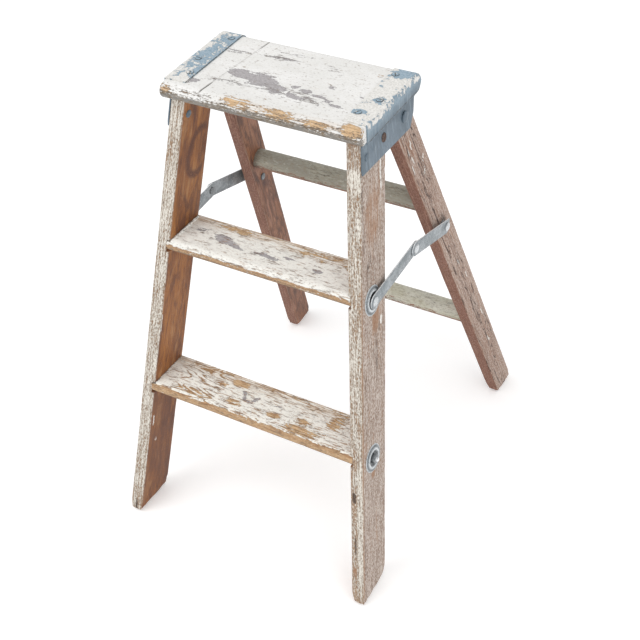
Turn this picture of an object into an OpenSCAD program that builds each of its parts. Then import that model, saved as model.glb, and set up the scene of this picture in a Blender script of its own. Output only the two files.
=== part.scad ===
// Two-tread folding wooden step ladder: a splayed front frame with a top board and two
// treads, a rear frame with two round rungs, pressed-steel top brackets and folding spreaders.
// Millimetres. +Z is up, the treads face -Y, and X runs across the ladder.
// The origin is on the floor at the middle of the footprint of the open ladder.

/* [Overall] */
// Height of the top board's upper face above the floor
ladder_height = 610; // [600:1:620]
// Footprint from the front feet to the rear feet, open
ladder_depth = 482; // [476:1:488]
// Number of sides used for round shapes
round_sides = 64; // [32:8:128]

/* [Front frame] */
// Lean of the front rails from vertical, in degrees
front_lean = 14.5; // [14:0.25:15]
// Width of a front rail along the ladder's depth
front_rail_w = 60; // [58:0.5:62]
// Thickness of a front rail
front_rail_t = 18.5; // [18:0.5:20]
// Outer half width of the front frame at the floor
front_half_floor = 185; // [183:0.5:187]
// Outer half width of the front frame under the top board
front_half_top = 122; // [121:0.5:123]

/* [Rear frame] */
// Lean of the rear rails from vertical, in degrees
rear_lean = 20; // [19.5:0.25:20.5]
// Width of a rear rail
rear_rail_w = 41.5; // [40:0.5:43]
// Thickness of a rear rail
rear_rail_t = 17; // [16:0.5:18]
// Outer half width of the rear frame at the floor
rear_half_floor = 184; // [182:0.5:185]
// Outer half width of the rear frame at the height of the board's underside
rear_half_top = 116; // [114:0.5:116.5]
// Distance up a rear rail from the floor line to the hinge pin
hinge_up_rail = 595.5; // [593:0.5:596]
// Radius of the round rungs
rung_r = 13.5; // [12:0.5:14]
// Height of the lower rung's centre
lower_rung_z = 175; // [165:1:185]
// Height of the upper rung's centre
upper_rung_z = 414.5; // [405:0.5:425]

/* [Top board and treads] */
// Thickness of the top board
board_t = 20; // [19:0.5:21]
// Half length of the top board
board_half = 128; // [127:0.5:129]
// Distance from the front feet line back to the board's front edge
board_front = 140; // [138:0.5:142]
// Depth of the top board
board_depth = 142.5; // [140:0.5:145]
// Thickness of a tread
tread_t = 16; // [15:0.5:17]
// Height of the lower tread's upper face
lower_tread_z = 213; // [208:1:218]
// Height of the upper tread's upper face
upper_tread_z = 415; // [410:1:420]
// Depth of the slot in each rail that holds a tread's end
dado = 4; // [3:0.5:5]

/* [Steel fittings] */
// Thickness of the bracket sheet
sheet_t = 1.6; // [1.2:0.1:2]
// Width of the strap on top of the board
strap_w = 28; // [24:1:32]
// Radius of the truss rods
rod_r = 3; // [2.5:0.25:3.5]
// Distance of the truss rods behind the front edge of the rails
rod_setback = 25.5; // [24:0.5:28]
// Radius of the dished rod washers
washer_r = 18.5; // [17:0.5:20]
// Width of the spreader links
link_w = 19; // [17:0.5:20]
// Thickness of the spreader links
link_t = 1.6; // [1.4:0.1:1.8]

/* [Hidden] */
$fn = round_sides;

sides = [-1, 1];
far = 800;                       // longer than anything in the ladder
board_under = ladder_height - board_t;
rear_y = ladder_depth - rear_rail_w / cos(rear_lean);

// How fast each frame narrows, per millimetre up its own slope
front_k = (front_half_floor - front_half_top) / (board_under / cos(front_lean));
rear_k = (rear_half_floor - rear_half_top) / (board_under / cos(rear_lean));

// A point on the rear rail's side, n behind its front edge and v up its slope, as [y, z]
function rear_point(n, v) = [rear_y + n * cos(rear_lean) - v * sin(rear_lean),
                             n * sin(rear_lean) + v * cos(rear_lean)];
// The same point's v, from a point n behind the front edge at height z
function rear_v(n, z) = (z - n * sin(rear_lean)) / cos(rear_lean);
// Distance up the front slope, and behind the front edge, of a point [y, z]
function front_v(p) = p.x * sin(front_lean) + p.y * cos(front_lean);
function front_n(p) = p.x * cos(front_lean) - p.y * sin(front_lean);
// Outer half width of each frame at a distance v up its slope
function front_half(v) = front_half_floor - front_k * v;
function rear_half(v) = rear_half_floor - rear_k * v;
// The front rail's front edge at height z
function front_edge_y(z) = z * tan(front_lean);

upper_rod = [front_edge_y(upper_tread_z - tread_t) + rod_setback, upper_tread_z - tread_t];
lower_rod = [front_edge_y(lower_tread_z - tread_t) + rod_setback, lower_tread_z - tread_t];
hinge = rear_point(rear_rail_w / 2, hinge_up_rail);

// Spreader pivots as [y, z], and the planes that the links lie in
link_front = upper_rod;
link_mid = [232, 403.6];
link_rear = rear_point(18.5, 395);
front_link_x = 144.4;
link_gap = 0.3;
rear_link_x = front_link_x + link_t + link_gap;
link_bore_clearance = 0.05;
rivet_r = 3;
link_end_past = 6;               // steel beyond the rear pivot
hinge_pin_r = 4;

// Rod washer profile: sheet, flat centre, raised ring and rim
washer_t = 0.8;
washer_hole_r = 4;
ring_rise = 0.9;

// Bracket side plate, in the ladder's side view
plate_front_low = 560.5;
plate_tip = [149.5, 554.5];
plate_rear_low = [266, 546.5];
plate_rear_mid = [277, 561];
plate_rear_top = [282, 577];
band_front = board_front + 14.5;
rivet_at = [159, 569];
screw_at = [200.5, 570];
strap_screws = [[108, 263], [117.5, 207], [107.5, 175]];   // [x, y]

// ---------- placing helpers ----------

module on_side(side) {
    if (side < 0) mirror([1, 0, 0]) children();
    else children();
}

module centred() {
    translate([0, -ladder_depth / 2, 0]) children();
}

// Slope frames: x across, y behind the front edge, z up the slope
module front_frame() {
    rotate([-front_lean, 0, 0]) children();
}

module rear_frame() {
    translate([0, rear_y, 0]) rotate([rear_lean, 0, 0]) children();
}

// Extrude a side-view outline, drawn as (y, z), along x
module along_x(x0, length) {
    translate([x0, 0, 0]) rotate([90, 0, 90]) linear_extrude(length) children();
}

// A round bar along x through the side-view point p
module x_bar(p, x0, x1, r) {
    translate([x0, p.x, p.y]) rotate([0, 90, 0]) cylinder(h = x1 - x0, r = r);
}

// Extrude a front-view outline, drawn as (x, z), from y0 to y1
module along_y(y0, y1) {
    translate([0, y1, 0]) rotate([90, 0, 0]) linear_extrude(y1 - y0) children();
}

// A low domed head of base radius r and height h, standing on z = 0
module dome(r, h) {
    shoulder = 0.85 * r;
    flat_r = 0.45 * r;
    cylinder(h = 0.45 * h, r1 = r, r2 = shoulder);
    translate([0, 0, 0.45 * h]) cylinder(h = 0.55 * h, r1 = shoulder, r2 = flat_r);
}

module x_dome(p, x, r, h) {
    translate([x, p.x, p.y]) rotate([0, 90, 0]) dome(r, h);
}

// Put children on the front rail's outer face at side-view point p, +Z outward
module on_front_face(p) {
    front_frame()
        translate([front_half(front_v(p)), front_n(p), front_v(p)])
            rotate([0, 90 - atan(front_k), 0]) children();
}

// Everything between two heights
module storey(z0, z1) {
    translate([-far / 2, -far / 4, z0]) cube([far, far * 1.5, z1 - z0]);
}

// Everything outside a rail's outer face, grown outward by gap
module beyond_front_face(gap) {
    front_frame() along_y(-far / 4, far) polygon([
        [front_half(-50) + gap, -50], [far, -50],
        [far, far], [front_half(far) + gap, far]
    ]);
}

module beyond_rear_face(gap) {
    rear_frame() along_y(-far / 4, far / 4) polygon([
        [rear_half(-50) + gap, -50], [far, -50],
        [far, far], [rear_half(far) + gap, far]
    ]);
}

// ---------- front frame ----------

// The wedge between the bottoms of the two rails' dados, from y0 to y1 behind the front edge
module between_dados(y0, y1) {
    inset = front_rail_t - dado;
    front_frame() along_y(y0, y1) polygon([
        [-front_half(-50) + inset, -50], [front_half(-50) - inset, -50],
        [front_half(far) - inset, far], [-front_half(far) + inset, far]
    ]);
}

module tread_slot(top_z) {
    intersection() {
        storey(top_z - tread_t, top_z);
        between_dados(-front_rail_w, 2 * front_rail_w);
    }
}

module nail_point(top_z) {
    z = top_z - 5;
    on_front_face([front_edge_y(z) + 30, z]) children();
}

nail_r = 1.3;
nail_length = 38;
rivet_shank_r = 2.5;
screw_shank_r = 1.8;

module front_rail(side) {
    color("rosybrown") centred() on_side(side) difference() {
        intersection() {
            front_frame() along_y(0, front_rail_w) polygon([
                [front_half(-50) - front_rail_t, -50], [front_half(-50), -50],
                [front_half(far), far], [front_half(far) - front_rail_t, far]
            ]);
            storey(0, board_under);
        }
        for (top_z = [lower_tread_z, upper_tread_z]) {
            tread_slot(top_z);
            nail_point(top_z) translate([0, 0, -nail_length]) cylinder(h = nail_length + 2, r = nail_r);
            nail_point(top_z) translate([0, 0, -1]) cylinder(h = 3, r = 2 * nail_r);
        }
        for (rod = [upper_rod, lower_rod]) x_bar(rod, 0, far / 2, rod_r);
        on_front_face(rivet_at) translate([0, 0, -far / 10]) cylinder(h = far / 5, r = rivet_shank_r);
        on_front_face(screw_at) translate([0, 0, -15]) cylinder(h = 30, r = screw_shank_r);
    }
}

module tread(top_z, rod) {
    nose_y = front_edge_y(top_z - tread_t / 2) - 1 + tread_t / 2;
    color("gainsboro") centred() difference() {
        intersection() {
            along_x(-far / 2, far) union() {
                translate([nose_y, top_z - tread_t / 2]) circle(tread_t / 2);
                translate([nose_y, top_z - tread_t]) square([2 * front_rail_w, tread_t]);
            }
            between_dados(-front_rail_w, front_rail_w - 1);
        }
        x_bar(rod, -far / 2, far / 2, rod_r + 0.1);
        for (side = sides) on_side(side)
            nail_point(top_z) translate([0, 0, -nail_length]) cylinder(h = nail_length, r = nail_r);
    }
}

module tread_nails() {
    color("dimgray") centred() for (side = sides, top_z = [lower_tread_z, upper_tread_z])
        on_side(side) nail_point(top_z) {
            translate([0, 0, -nail_length]) cylinder(h = nail_length - 0.5, r = nail_r);
            translate([0, 0, -1]) cylinder(h = 0.8, r = 2 * nail_r);
        }
}

module top_board() {
    r = board_t / 2;
    color("whitesmoke") centred() difference() {
        along_x(-board_half, 2 * board_half) union() {
            for (y = [board_front + r, board_front + board_depth - r])
                translate([y, ladder_height - r]) circle(r);
            translate([board_front + r, board_under]) square([board_depth - board_t, board_t]);
        }
        for (side = sides, s = strap_screws)
            translate([side * s.x, s.y, ladder_height - 15]) cylinder(h = 30, r = screw_shank_r);
    }
}

// ---------- top brackets ----------

// The board's end profile, grown by grow, from the band's front edge to the back nose
module board_end(grow) {
    r = board_t / 2;
    back = board_front + board_depth - r;
    union() {
        translate([back, ladder_height - r]) circle(r + grow);
        translate([band_front, board_under - grow]) square([back - band_front, board_t + 2 * grow]);
    }
}

module plate_outline() {
    top_y = front_edge_y(board_under);
    polygon([
        [top_y, board_under], [front_edge_y(plate_front_low), plate_front_low], plate_tip,
        plate_rear_low, plate_rear_mid, plate_rear_top, [plate_rear_top.x, board_under]
    ]);
}

module bracket(side) {
    color("slategray") centred() on_side(side) difference() {
        union() {
            // band over the end of the board
            along_x(board_half, sheet_t) board_end(sheet_t);
            // strap on top of the board and round its back nose
            intersection() {
                along_x(board_half - strap_w, strap_w + sheet_t) difference() {
                    board_end(sheet_t);
                    board_end(0);
                }
                union() {
                    translate([0, board_front, ladder_height]) cube([far, far, far]);
                    translate([0, board_front + board_depth - board_t / 2, ladder_height - board_t / 2])
                        cube([far, far, far]);
                }
            }
            // ledge under the overhanging end
            intersection() {
                translate([0, band_front, board_under - sheet_t])
                    cube([board_half + sheet_t, plate_rear_top.x - band_front, sheet_t]);
                beyond_front_face(0);
            }
            // side plate against the front rail
            intersection() {
                along_x(0, far) plate_outline();
                difference() {
                    beyond_front_face(0);
                    beyond_front_face(sheet_t);
                }
            }
        }
        for (s = strap_screws)
            translate([s.x, s.y, ladder_height - 1]) cylinder(h = 10, r = screw_shank_r);
        on_front_face(rivet_at) translate([0, 0, -5]) cylinder(h = 20, r = rivet_shank_r);
        on_front_face(screw_at) translate([0, 0, -5]) cylinder(h = 20, r = screw_shank_r);
        x_bar(hinge, 0, far / 2, hinge_pin_r);
    }
}

module top_screws() {
    color("lightsteelblue") centred() for (side = sides, s = strap_screws)
        translate([side * s.x, s.y, ladder_height + sheet_t]) {
            dome(4.5, 1.4);
            translate([0, 0, -sheet_t - 14]) cylinder(h = sheet_t + 14.5, r = screw_shank_r);
        }
}

module bracket_rivets() {
    color("slategray") centred() for (side = sides) on_side(side) on_front_face(rivet_at) {
        through = front_rail_t * cos(atan(front_k));
        translate([0, 0, sheet_t * cos(atan(front_k))]) dome(5, 1.6);
        translate([0, 0, -through - 1]) cylinder(h = through + 1 + sheet_t + 0.5, r = rivet_shank_r);
        translate([0, 0, -through]) mirror([0, 0, 1]) dome(4.5, 1.3);
    }
}

module bracket_screws() {
    color("saddlebrown") centred() for (side = sides) on_side(side) on_front_face(screw_at) {
        translate([0, 0, sheet_t * cos(atan(front_k))]) dome(5.5, 1.8);
        translate([0, 0, -14]) cylinder(h = 14 + sheet_t + 0.5, r = screw_shank_r);
    }
}

// Half width, at the hinge, of the bracket plate's inner face and of the rear rail's outer face
plate_half = front_half(front_v(hinge));
rail_half = rear_half(hinge_up_rail);
hinge_washer_t = 1.2;

module hinge_pins() {
    inner = rail_half - rear_rail_t;
    head_x = plate_half + sheet_t + 0.9;
    color("slategray") centred() for (side = sides) on_side(side) {
        x_bar(hinge, inner - 2, head_x + 0.5, hinge_pin_r);
        x_dome(hinge, head_x, 7, 2.2);
        intersection() {
            x_bar(hinge, plate_half, head_x, 7);
            beyond_front_face(sheet_t);
        }
        translate([inner - 1.2, hinge.x, hinge.y]) rotate([0, -90, 0]) dome(7, 2);
    }
}

module hinge_washers() {
    color("darkgray") centred() for (side = sides) on_side(side) difference() {
        intersection() {
            x_bar(hinge, plate_half - 10, plate_half + 10, 9);
            difference() {
                beyond_front_face(-hinge_washer_t);
                beyond_front_face(0);
            }
        }
        x_bar(hinge, 0, far / 2, hinge_pin_r);
    }
}

// ---------- truss rods ----------

module rod_washer(rod) {
    color("silver") centred() for (side = sides) on_side(side) on_front_face(rod)
        rotate_extrude() polygon([
            [washer_hole_r, 0], [8.5, 0], [10.5, ring_rise], [13.5, ring_rise], [16, 0],
            [washer_r, 0], [washer_r, washer_t], [16.3, washer_t], [13.8, washer_t + ring_rise],
            [10.2, washer_t + ring_rise], [8.2, washer_t], [washer_hole_r, washer_t]
        ]);
}

// Half length of the rod out to the face of the washer's flat centre
function rod_face(rod) = front_half(front_v(rod)) + washer_t;

module upper_truss_rod() {
    head_x = front_link_x + link_t + 0.25;
    color("darkgray") centred() union() {
        x_bar(upper_rod, -head_x, head_x, rod_r);
        for (side = sides) on_side(side) {
            x_dome(upper_rod, head_x - 0.01, 6, 2.2);
            intersection() {
                x_bar(upper_rod, rod_face(upper_rod) - 5, front_link_x - link_gap, 5.5);
                beyond_front_face(washer_t);
            }
        }
    }
}

nut_t = 4;

module lower_truss_rod() {
    end_x = rod_face(lower_rod) + nut_t + 2.5;
    color("darkgray") centred() union() {
        x_bar(lower_rod, -end_x, end_x, rod_r - 0.2);
        for (side = sides) on_side(side) x_dome(lower_rod, end_x - 0.01, rod_r - 0.2, 1);
    }
}

module lower_rod_nuts() {
    across = 10;
    color("silver") centred() for (side = sides) on_side(side) difference() {
        intersection() {
            along_x(rod_face(lower_rod) - 5, 5 + nut_t) translate(lower_rod)
                rotate(20) square(across, center = true);
            beyond_front_face(washer_t);
        }
        x_bar(lower_rod, 0, far / 2, rod_r - 0.2);
    }
}

// ---------- rear frame ----------

rung_seat = 6;                   // wood left outside a rung's socket

module rear_rail_outline() {
    translate([rear_rail_w / 2, hinge_up_rail]) circle(rear_rail_w / 2);
    translate([0, -50]) square([rear_rail_w, hinge_up_rail + 50]);
}

function rung_point(z) = rear_point(rear_rail_w / 2, rear_v(rear_rail_w / 2, z));
function socket_x(z) = rear_half(rear_v(rear_rail_w / 2, z)) - rung_seat;

module rung_nail_hole(z, length) {
    v = rear_v(rear_rail_w / 2, z);
    rear_frame() translate([rear_half(v) - rear_rail_t / 2 - 2, rear_rail_w - length, v])
        rotate([-90, 0, 0]) cylinder(h = length, r = 1);
}

module rear_rail(side) {
    color("rosybrown") centred() on_side(side) difference() {
        intersection() {
            rear_frame() along_y(-1, rear_rail_w + 1) polygon([
                [rear_half(-50) - rear_rail_t, -50], [rear_half(-50), -50],
                [rear_half(far), far], [rear_half(far) - rear_rail_t, far]
            ]);
            rear_frame() along_x(0, far) rear_rail_outline();
            storey(0, ladder_height);
        }
        x_bar(hinge, 0, far / 2, hinge_pin_r + 0.05);
        x_bar(link_rear, 0, far / 2, rivet_r);
        for (z = [lower_rung_z, upper_rung_z]) {
            x_bar(rung_point(z), 0, socket_x(z), rung_r);
            rung_nail_hole(z, 20);
        }
    }
}

module rung(z) {
    color("darkkhaki") centred() difference() {
        x_bar(rung_point(z), -socket_x(z), socket_x(z), rung_r);
        for (side = sides) on_side(side) rung_nail_hole(z, 20);
    }
}

module rung_nails() {
    color("dimgray") centred() for (side = sides, z = [lower_rung_z, upper_rung_z])
        on_side(side) rung_nail_hole(z, 20);
}

// ---------- spreaders ----------

// A flat link between side-view points a and b, round at a; square_end past b
module link_outline(a, b, square_end) {
    run = b - a;
    translate(a) rotate(atan2(run.y, run.x)) {
        circle(link_w / 2);
        translate([0, -link_w / 2]) square([norm(run) + (square_end ? link_end_past : 0), link_w]);
        if (!square_end) translate([norm(run), 0]) circle(link_w / 2);
    }
}

module front_link(side) {
    color("lightslategray") centred() on_side(side) difference() {
        along_x(front_link_x, link_t) link_outline(link_mid, link_front, false);
        x_bar(link_front, 0, far / 2, rod_r + link_bore_clearance);
    }
}

module rear_link(side) {
    color("lightslategray") centred() on_side(side) difference() {
        along_x(rear_link_x, link_t) link_outline(link_mid, link_rear, true);
        x_bar(link_mid, 0, far / 2, rivet_r);
        x_bar(link_rear, 0, far / 2, rivet_r + link_bore_clearance);
    }
}

module mid_rivet(side) {
    outer = rear_link_x + link_t;
    color("silver") centred() on_side(side) {
        x_bar(link_mid, rear_link_x, outer + 0.4, rivet_r);
        x_dome(link_mid, outer, 6, 2);
    }
}

// The rivet's inner end, which shows on the front link's inner face
module link_tail(side) {
    color("silver") centred() on_side(side)
        translate([front_link_x, link_mid.x, link_mid.y]) rotate([0, -90, 0]) dome(5, 1.4);
}

module spreader_rivets() {
    rail_outer = rear_half(rear_v(18.5, link_rear.y));
    inner = rail_outer - rear_rail_t;
    outer = rear_link_x + link_t + 0.25;
    color("silver") centred() for (side = sides) on_side(side) {
        x_bar(link_rear, inner - 1, outer + 0.4, rivet_r);
        x_dome(link_rear, outer, 6, 2);
        translate([inner - 0.8, link_rear.x, link_rear.y]) rotate([0, -90, 0]) dome(5, 1.4);
    }
}

module spreader_spacers() {
    color("darkgray") centred() for (side = sides) on_side(side) difference() {
        intersection() {
            x_bar(link_rear, front_link_x - 10, rear_link_x - link_gap, 6.5);
            beyond_rear_face(0);
        }
        x_bar(link_rear, 0, far / 2, rivet_r);
    }
}

// ---------- what is drawn ----------

top_board();
bracket(-1);  // bracket_left
bracket(1);  // bracket_right
top_screws();
bracket_rivets();
bracket_screws();
hinge_pins();
hinge_washers();
front_rail(-1);  // front_rail_left
front_rail(1);  // front_rail_right
tread(upper_tread_z, upper_rod);  // upper_tread
tread(lower_tread_z, lower_rod);  // lower_tread
tread_nails();
upper_truss_rod();
lower_truss_rod();
rod_washer(upper_rod);  // upper_rod_washers
rod_washer(lower_rod);  // lower_rod_washers
lower_rod_nuts();
rear_rail(-1);  // rear_rail_left
rear_rail(1);  // rear_rail_right
rung(upper_rung_z);  // upper_rung
rung(lower_rung_z);  // lower_rung
rung_nails();
spreader_rivets();
spreader_spacers();
front_link(-1);  // front_link_left
front_link(1);  // front_link_right
link_tail(-1);  // link_tail_left
link_tail(1);  // link_tail_right
rear_link(-1);  // rear_link_left
rear_link(1);  // rear_link_right
mid_rivet(-1);  // mid_rivet_left
mid_rivet(1);  // mid_rivet_right
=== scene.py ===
"""Looks of the two-tread wooden step ladder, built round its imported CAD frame.

Lengths below are in millimetres in the row frame, and meshes are scaled to metres as they
are made. Every wooden piece is a dense block with local coordinates (a along the grain,
b across the width, c through the thickness), which also drive its material.
"""
import functools
import math
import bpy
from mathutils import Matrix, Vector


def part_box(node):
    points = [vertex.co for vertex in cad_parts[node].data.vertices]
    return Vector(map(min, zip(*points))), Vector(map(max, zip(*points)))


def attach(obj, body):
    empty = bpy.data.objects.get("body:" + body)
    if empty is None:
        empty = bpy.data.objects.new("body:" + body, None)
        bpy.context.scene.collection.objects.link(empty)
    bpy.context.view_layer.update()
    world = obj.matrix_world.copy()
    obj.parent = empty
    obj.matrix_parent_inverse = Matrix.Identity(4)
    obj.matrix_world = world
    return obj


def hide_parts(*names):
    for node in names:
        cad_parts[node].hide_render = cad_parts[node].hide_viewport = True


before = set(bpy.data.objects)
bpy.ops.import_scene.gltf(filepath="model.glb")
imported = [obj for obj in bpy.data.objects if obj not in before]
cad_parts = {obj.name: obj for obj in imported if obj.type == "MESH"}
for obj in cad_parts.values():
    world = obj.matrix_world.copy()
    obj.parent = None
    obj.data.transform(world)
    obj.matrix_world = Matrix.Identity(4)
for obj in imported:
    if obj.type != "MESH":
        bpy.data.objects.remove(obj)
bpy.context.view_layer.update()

from types import SimpleNamespace

import bpy
import numpy as np
from mathutils import Matrix, Vector

MM = 0.001


def box_mm(node):
    """Lowest and highest corner of a CAD node, in millimetres."""
    low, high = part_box(node)
    return np.array(low) / MM, np.array(high) / MM


# ---------------------------------------------------------------- the ladder's dimensions
BOARD_LOW, BOARD_HIGH = box_mm("top_board")
HEIGHT = BOARD_HIGH[2]
BOARD_UNDER = BOARD_LOW[2]
BOARD_T = HEIGHT - BOARD_UNDER
BOARD_HALF = BOARD_HIGH[0]
BOARD_FRONT, BOARD_BACK = BOARD_LOW[1], BOARD_HIGH[1]
FEET_FRONT = box_mm("front_rail_right")[0][1]
FEET_BACK = box_mm("rear_rail_right")[1][1]

FRONT_LEAN = math.radians(14.5)
FRONT_W = 60.0
FRONT_T = 18.5
FRONT_HALF = 185.0
FRONT_TOP_HALF = 122.0
FRONT_K = (FRONT_HALF - FRONT_TOP_HALF) / (BOARD_UNDER / math.cos(FRONT_LEAN))

REAR_LEAN = math.radians(20.0)
REAR_W = 41.5
REAR_T = 17.0
REAR_HALF = 184.0
REAR_TOP_HALF = 116.0
REAR_K = (REAR_HALF - REAR_TOP_HALF) / (BOARD_UNDER / math.cos(REAR_LEAN))
REAR_Y = FEET_BACK - REAR_W / math.cos(REAR_LEAN)
HINGE_UP = 595.5

TREAD_T = 16.0
TREAD_TOPS = {"lower": 213.0, "upper": 415.0}
DADO = 4.0
ROD_SETBACK = 25.5
RUNG_R = 13.5
SHEET = 1.6
STRAP_W = 28.0
KERF_X = -69.5
NOSE_Y = BOARD_BACK - BOARD_T / 2
BAND_FRONT = BOARD_FRONT + 14.5
PLATE_BACK = 282.0 + FEET_FRONT
LEDGE_Z = BOARD_UNDER - SHEET
BAND_R = BOARD_T / 2 + SHEET
LINK_W = 19.0
LINK_T = 1.6
FRONT_LINK_X = 144.4
REAR_LINK_X = 146.3


def front_point(n, v):
    """(y, z) of a point n behind the front rails' front edge and v up their slope."""
    y = FEET_FRONT + n * math.cos(FRONT_LEAN) + v * math.sin(FRONT_LEAN)
    return y, v * math.cos(FRONT_LEAN) - n * math.sin(FRONT_LEAN)


def front_nv(y, z):
    """The inverse of front_point."""
    y = y - FEET_FRONT
    n = y * math.cos(FRONT_LEAN) - z * math.sin(FRONT_LEAN)
    return n, y * math.sin(FRONT_LEAN) + z * math.cos(FRONT_LEAN)


def rear_point(n, v):
    """(y, z) of a point n behind the rear rails' front edge and v up their slope."""
    y = REAR_Y + n * math.cos(REAR_LEAN) - v * math.sin(REAR_LEAN)
    return y, n * math.sin(REAR_LEAN) + v * math.cos(REAR_LEAN)


def front_half(v):
    return FRONT_HALF - FRONT_K * v


def rear_half(v):
    return REAR_HALF - REAR_K * v


def front_edge_y(z):
    return FEET_FRONT + z * math.tan(FRONT_LEAN)


def rod_point(tread):
    """(y, z) of the truss rod under a tread."""
    z = TREAD_TOPS[tread] - TREAD_T
    return front_edge_y(z) + ROD_SETBACK, z


UPPER_ROD, LOWER_ROD = rod_point("upper"), rod_point("lower")
HINGE = rear_point(REAR_W / 2, HINGE_UP)
LINK_MID = (232.0 + FEET_FRONT, 403.6)
LINK_REAR_V = 395.0
LINK_REAR = rear_point(18.5, LINK_REAR_V)


# ---------------------------------------------------------------- seeded noise
def lattice(i, j, k, seed):
    """A fixed pseudo-random value from -1 to 1 for each lattice point."""
    mask = np.int64(0xFFFFFFFF)
    h = (i * 374761393 + j * 668265263 + k * 1274126177 + seed * 974634777) & mask
    h = ((h ^ (h >> 13)) * 1103515245) & mask
    h = ((h ^ (h >> 15)) * 747796405) & mask
    return ((h >> 8) & 0xFFFF) / 32767.5 - 1.0


def noise(points, size, seed, octaves=1):
    """Smooth noise from about -1 to 1, with features of the given size (one or three numbers)."""
    total, weight, norm = 0.0, 1.0, 0.0
    p = points / np.asarray(size, float)
    for octave in range(octaves):
        cell = np.floor(p).astype(np.int64)
        f = p - cell
        f = f * f * (3 - 2 * f)
        value = 0.0
        for di in (0, 1):
            for dj in (0, 1):
                for dk in (0, 1):
                    w = ((f[:, 0] if di else 1 - f[:, 0]) * (f[:, 1] if dj else 1 - f[:, 1])
                         * (f[:, 2] if dk else 1 - f[:, 2]))
                    value = value + w * lattice(cell[:, 0] + di, cell[:, 1] + dj, cell[:, 2] + dk,
                                                seed + octave * 17)
        total = total + weight * value
        norm += weight
        weight *= 0.5
        p = p * 2.03
    return total / norm


def smooth(low, high, x):
    t = np.clip((x - low) / (high - low), 0, 1)
    return t * t * (3 - 2 * t)


def blob(x, y, centre, radii, turn=0.0):
    """1 at the centre of an ellipse, 0 on its outline and negative outside, turned by degrees."""
    c, s = math.cos(math.radians(turn)), math.sin(math.radians(turn))
    dx, dy = x - centre[0], y - centre[1]
    u, w = (dx * c + dy * s) / radii[0], (dy * c - dx * s) / radii[1]
    return 1 - np.sqrt(u * u + w * w)


def spot(x, y, centre, radii, turn=0.0, gain=2.0, top=1.0):
    """A blob times its gain, between 0 and top."""
    return np.clip(blob(x, y, centre, radii, turn) * gain, 0, top)


def most(*fields):
    """The largest of several fields at each point."""
    return functools.reduce(np.maximum, fields)


def patches(x, y, spots):
    """The strongest of several (centre, radii, turn, strength) spots, 0 where there is none."""
    return most(0 * x, *[strength * spot(x, y, centre, radii, turn, 1.6)
                         for centre, radii, turn, strength in spots])


def sides(side):
    """The name of side 1 or -1."""
    return "right" if side > 0 else "left"


# ---------------------------------------------------------------- mesh making
def new_object(name, vertices, faces, smooth_angle=40.0):
    """A smooth-shaded mesh object from millimetre vertices, sharp over smooth_angle degrees."""
    mesh = bpy.data.meshes.new(name)
    mesh.from_pydata((np.asarray(vertices) * MM).tolist(), [], [list(map(int, f)) for f in faces])
    mesh.update()
    mesh.shade_smooth()
    mesh.set_sharp_from_angle(angle=math.radians(smooth_angle))
    obj = bpy.data.objects.new(name, mesh)
    bpy.context.scene.collection.objects.link(obj)
    return obj


def add_fields(obj, grain=None, **values):
    """Vertex attributes: grain coordinates, and one number or one per vertex under each name."""
    if grain is not None:
        attribute = obj.data.attributes.new("grain", "FLOAT_VECTOR", "POINT")
        attribute.data.foreach_set("vector", np.asarray(grain, np.float32).ravel())
    for key, value in values.items():
        attribute = obj.data.attributes.new(key, "FLOAT", "POINT")
        spread = np.zeros(len(obj.data.vertices)) + value
        attribute.data.foreach_set("value", spread.astype(np.float32))
    return obj


def signed_volume(vertices, faces):
    """Positive when the faces of a closed mesh point outward."""
    total = 0.0
    for size in {len(f) for f in faces}:
        f = np.array([g for g in faces if len(g) == size])
        for k in range(1, size - 1):
            a, b, c = vertices[f[:, 0]], vertices[f[:, k]], vertices[f[:, k + 1]]
            total += np.einsum("ij,ij->", a, np.cross(b, c))
    return total


def outward(vertices, faces):
    return [tuple(reversed(f)) for f in faces] if signed_volume(vertices, faces) < 0 else faces


def vertex_normals(vertices, faces):
    quads = np.array([f if len(f) == 4 else (*f, f[2]) for f in faces])
    normal = np.cross(vertices[quads[:, 2]] - vertices[quads[:, 0]],
                      vertices[quads[:, 3]] - vertices[quads[:, 1]])
    total = np.zeros_like(vertices)
    for k in range(4):
        np.add.at(total, quads[:, k], normal)
    return total / np.maximum(np.linalg.norm(total, axis=1, keepdims=True), 1e-9)


def stations(length, step, fine, reach):
    """Places along one side: fine steps within reach of both ends, and coarse ones between."""
    ends = np.arange(0, reach + 1e-6, fine)
    middle = np.linspace(reach, length - reach, max(2, int(round((length - 2 * reach) / step)) + 1))
    return np.unique(np.round(np.concatenate([ends, middle, length - ends]), 4))


def block_faces(na, nb, nc):
    """Surface vertices and quads of an na x nb x nc lattice."""
    index = -np.ones((na, nb, nc), int)
    shell = np.zeros((na, nb, nc), bool)
    shell[[0, -1]] = shell[:, [0, -1]] = True
    shell[:, :, [0, -1]] = True
    index[shell] = np.arange(shell.sum())
    where = np.argwhere(shell)
    faces = []
    for sheet, flip in ((index[0], True), (index[-1], False), (index[:, 0], False), (index[:, -1], True),
                        (index[:, :, 0], True), (index[:, :, -1], False)):
        quads = np.stack([sheet[:-1, :-1], sheet[1:, :-1], sheet[1:, 1:], sheet[:-1, 1:]], -1)
        quads = quads.reshape(-1, 4)
        faces.append(quads[:, ::-1] if flip else quads)
    return where, np.concatenate(faces)


def merged(vertices, faces, extra):
    """Drops coincident vertices and the faces that collapse with them."""
    key = np.round(vertices, 3)
    _, first, inverse = np.unique(key, axis=0, return_index=True, return_inverse=True)
    inverse = inverse.reshape(-1)
    kept = []
    for f in faces:
        g = [inverse[i] for i in f]
        g = [x for i, x in enumerate(g) if x != g[i - 1]]
        if len(g) >= 3 and len(set(g)) == len(g):
            kept.append(tuple(g))
    return vertices[first], kept, [e[first] for e in extra]


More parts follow.
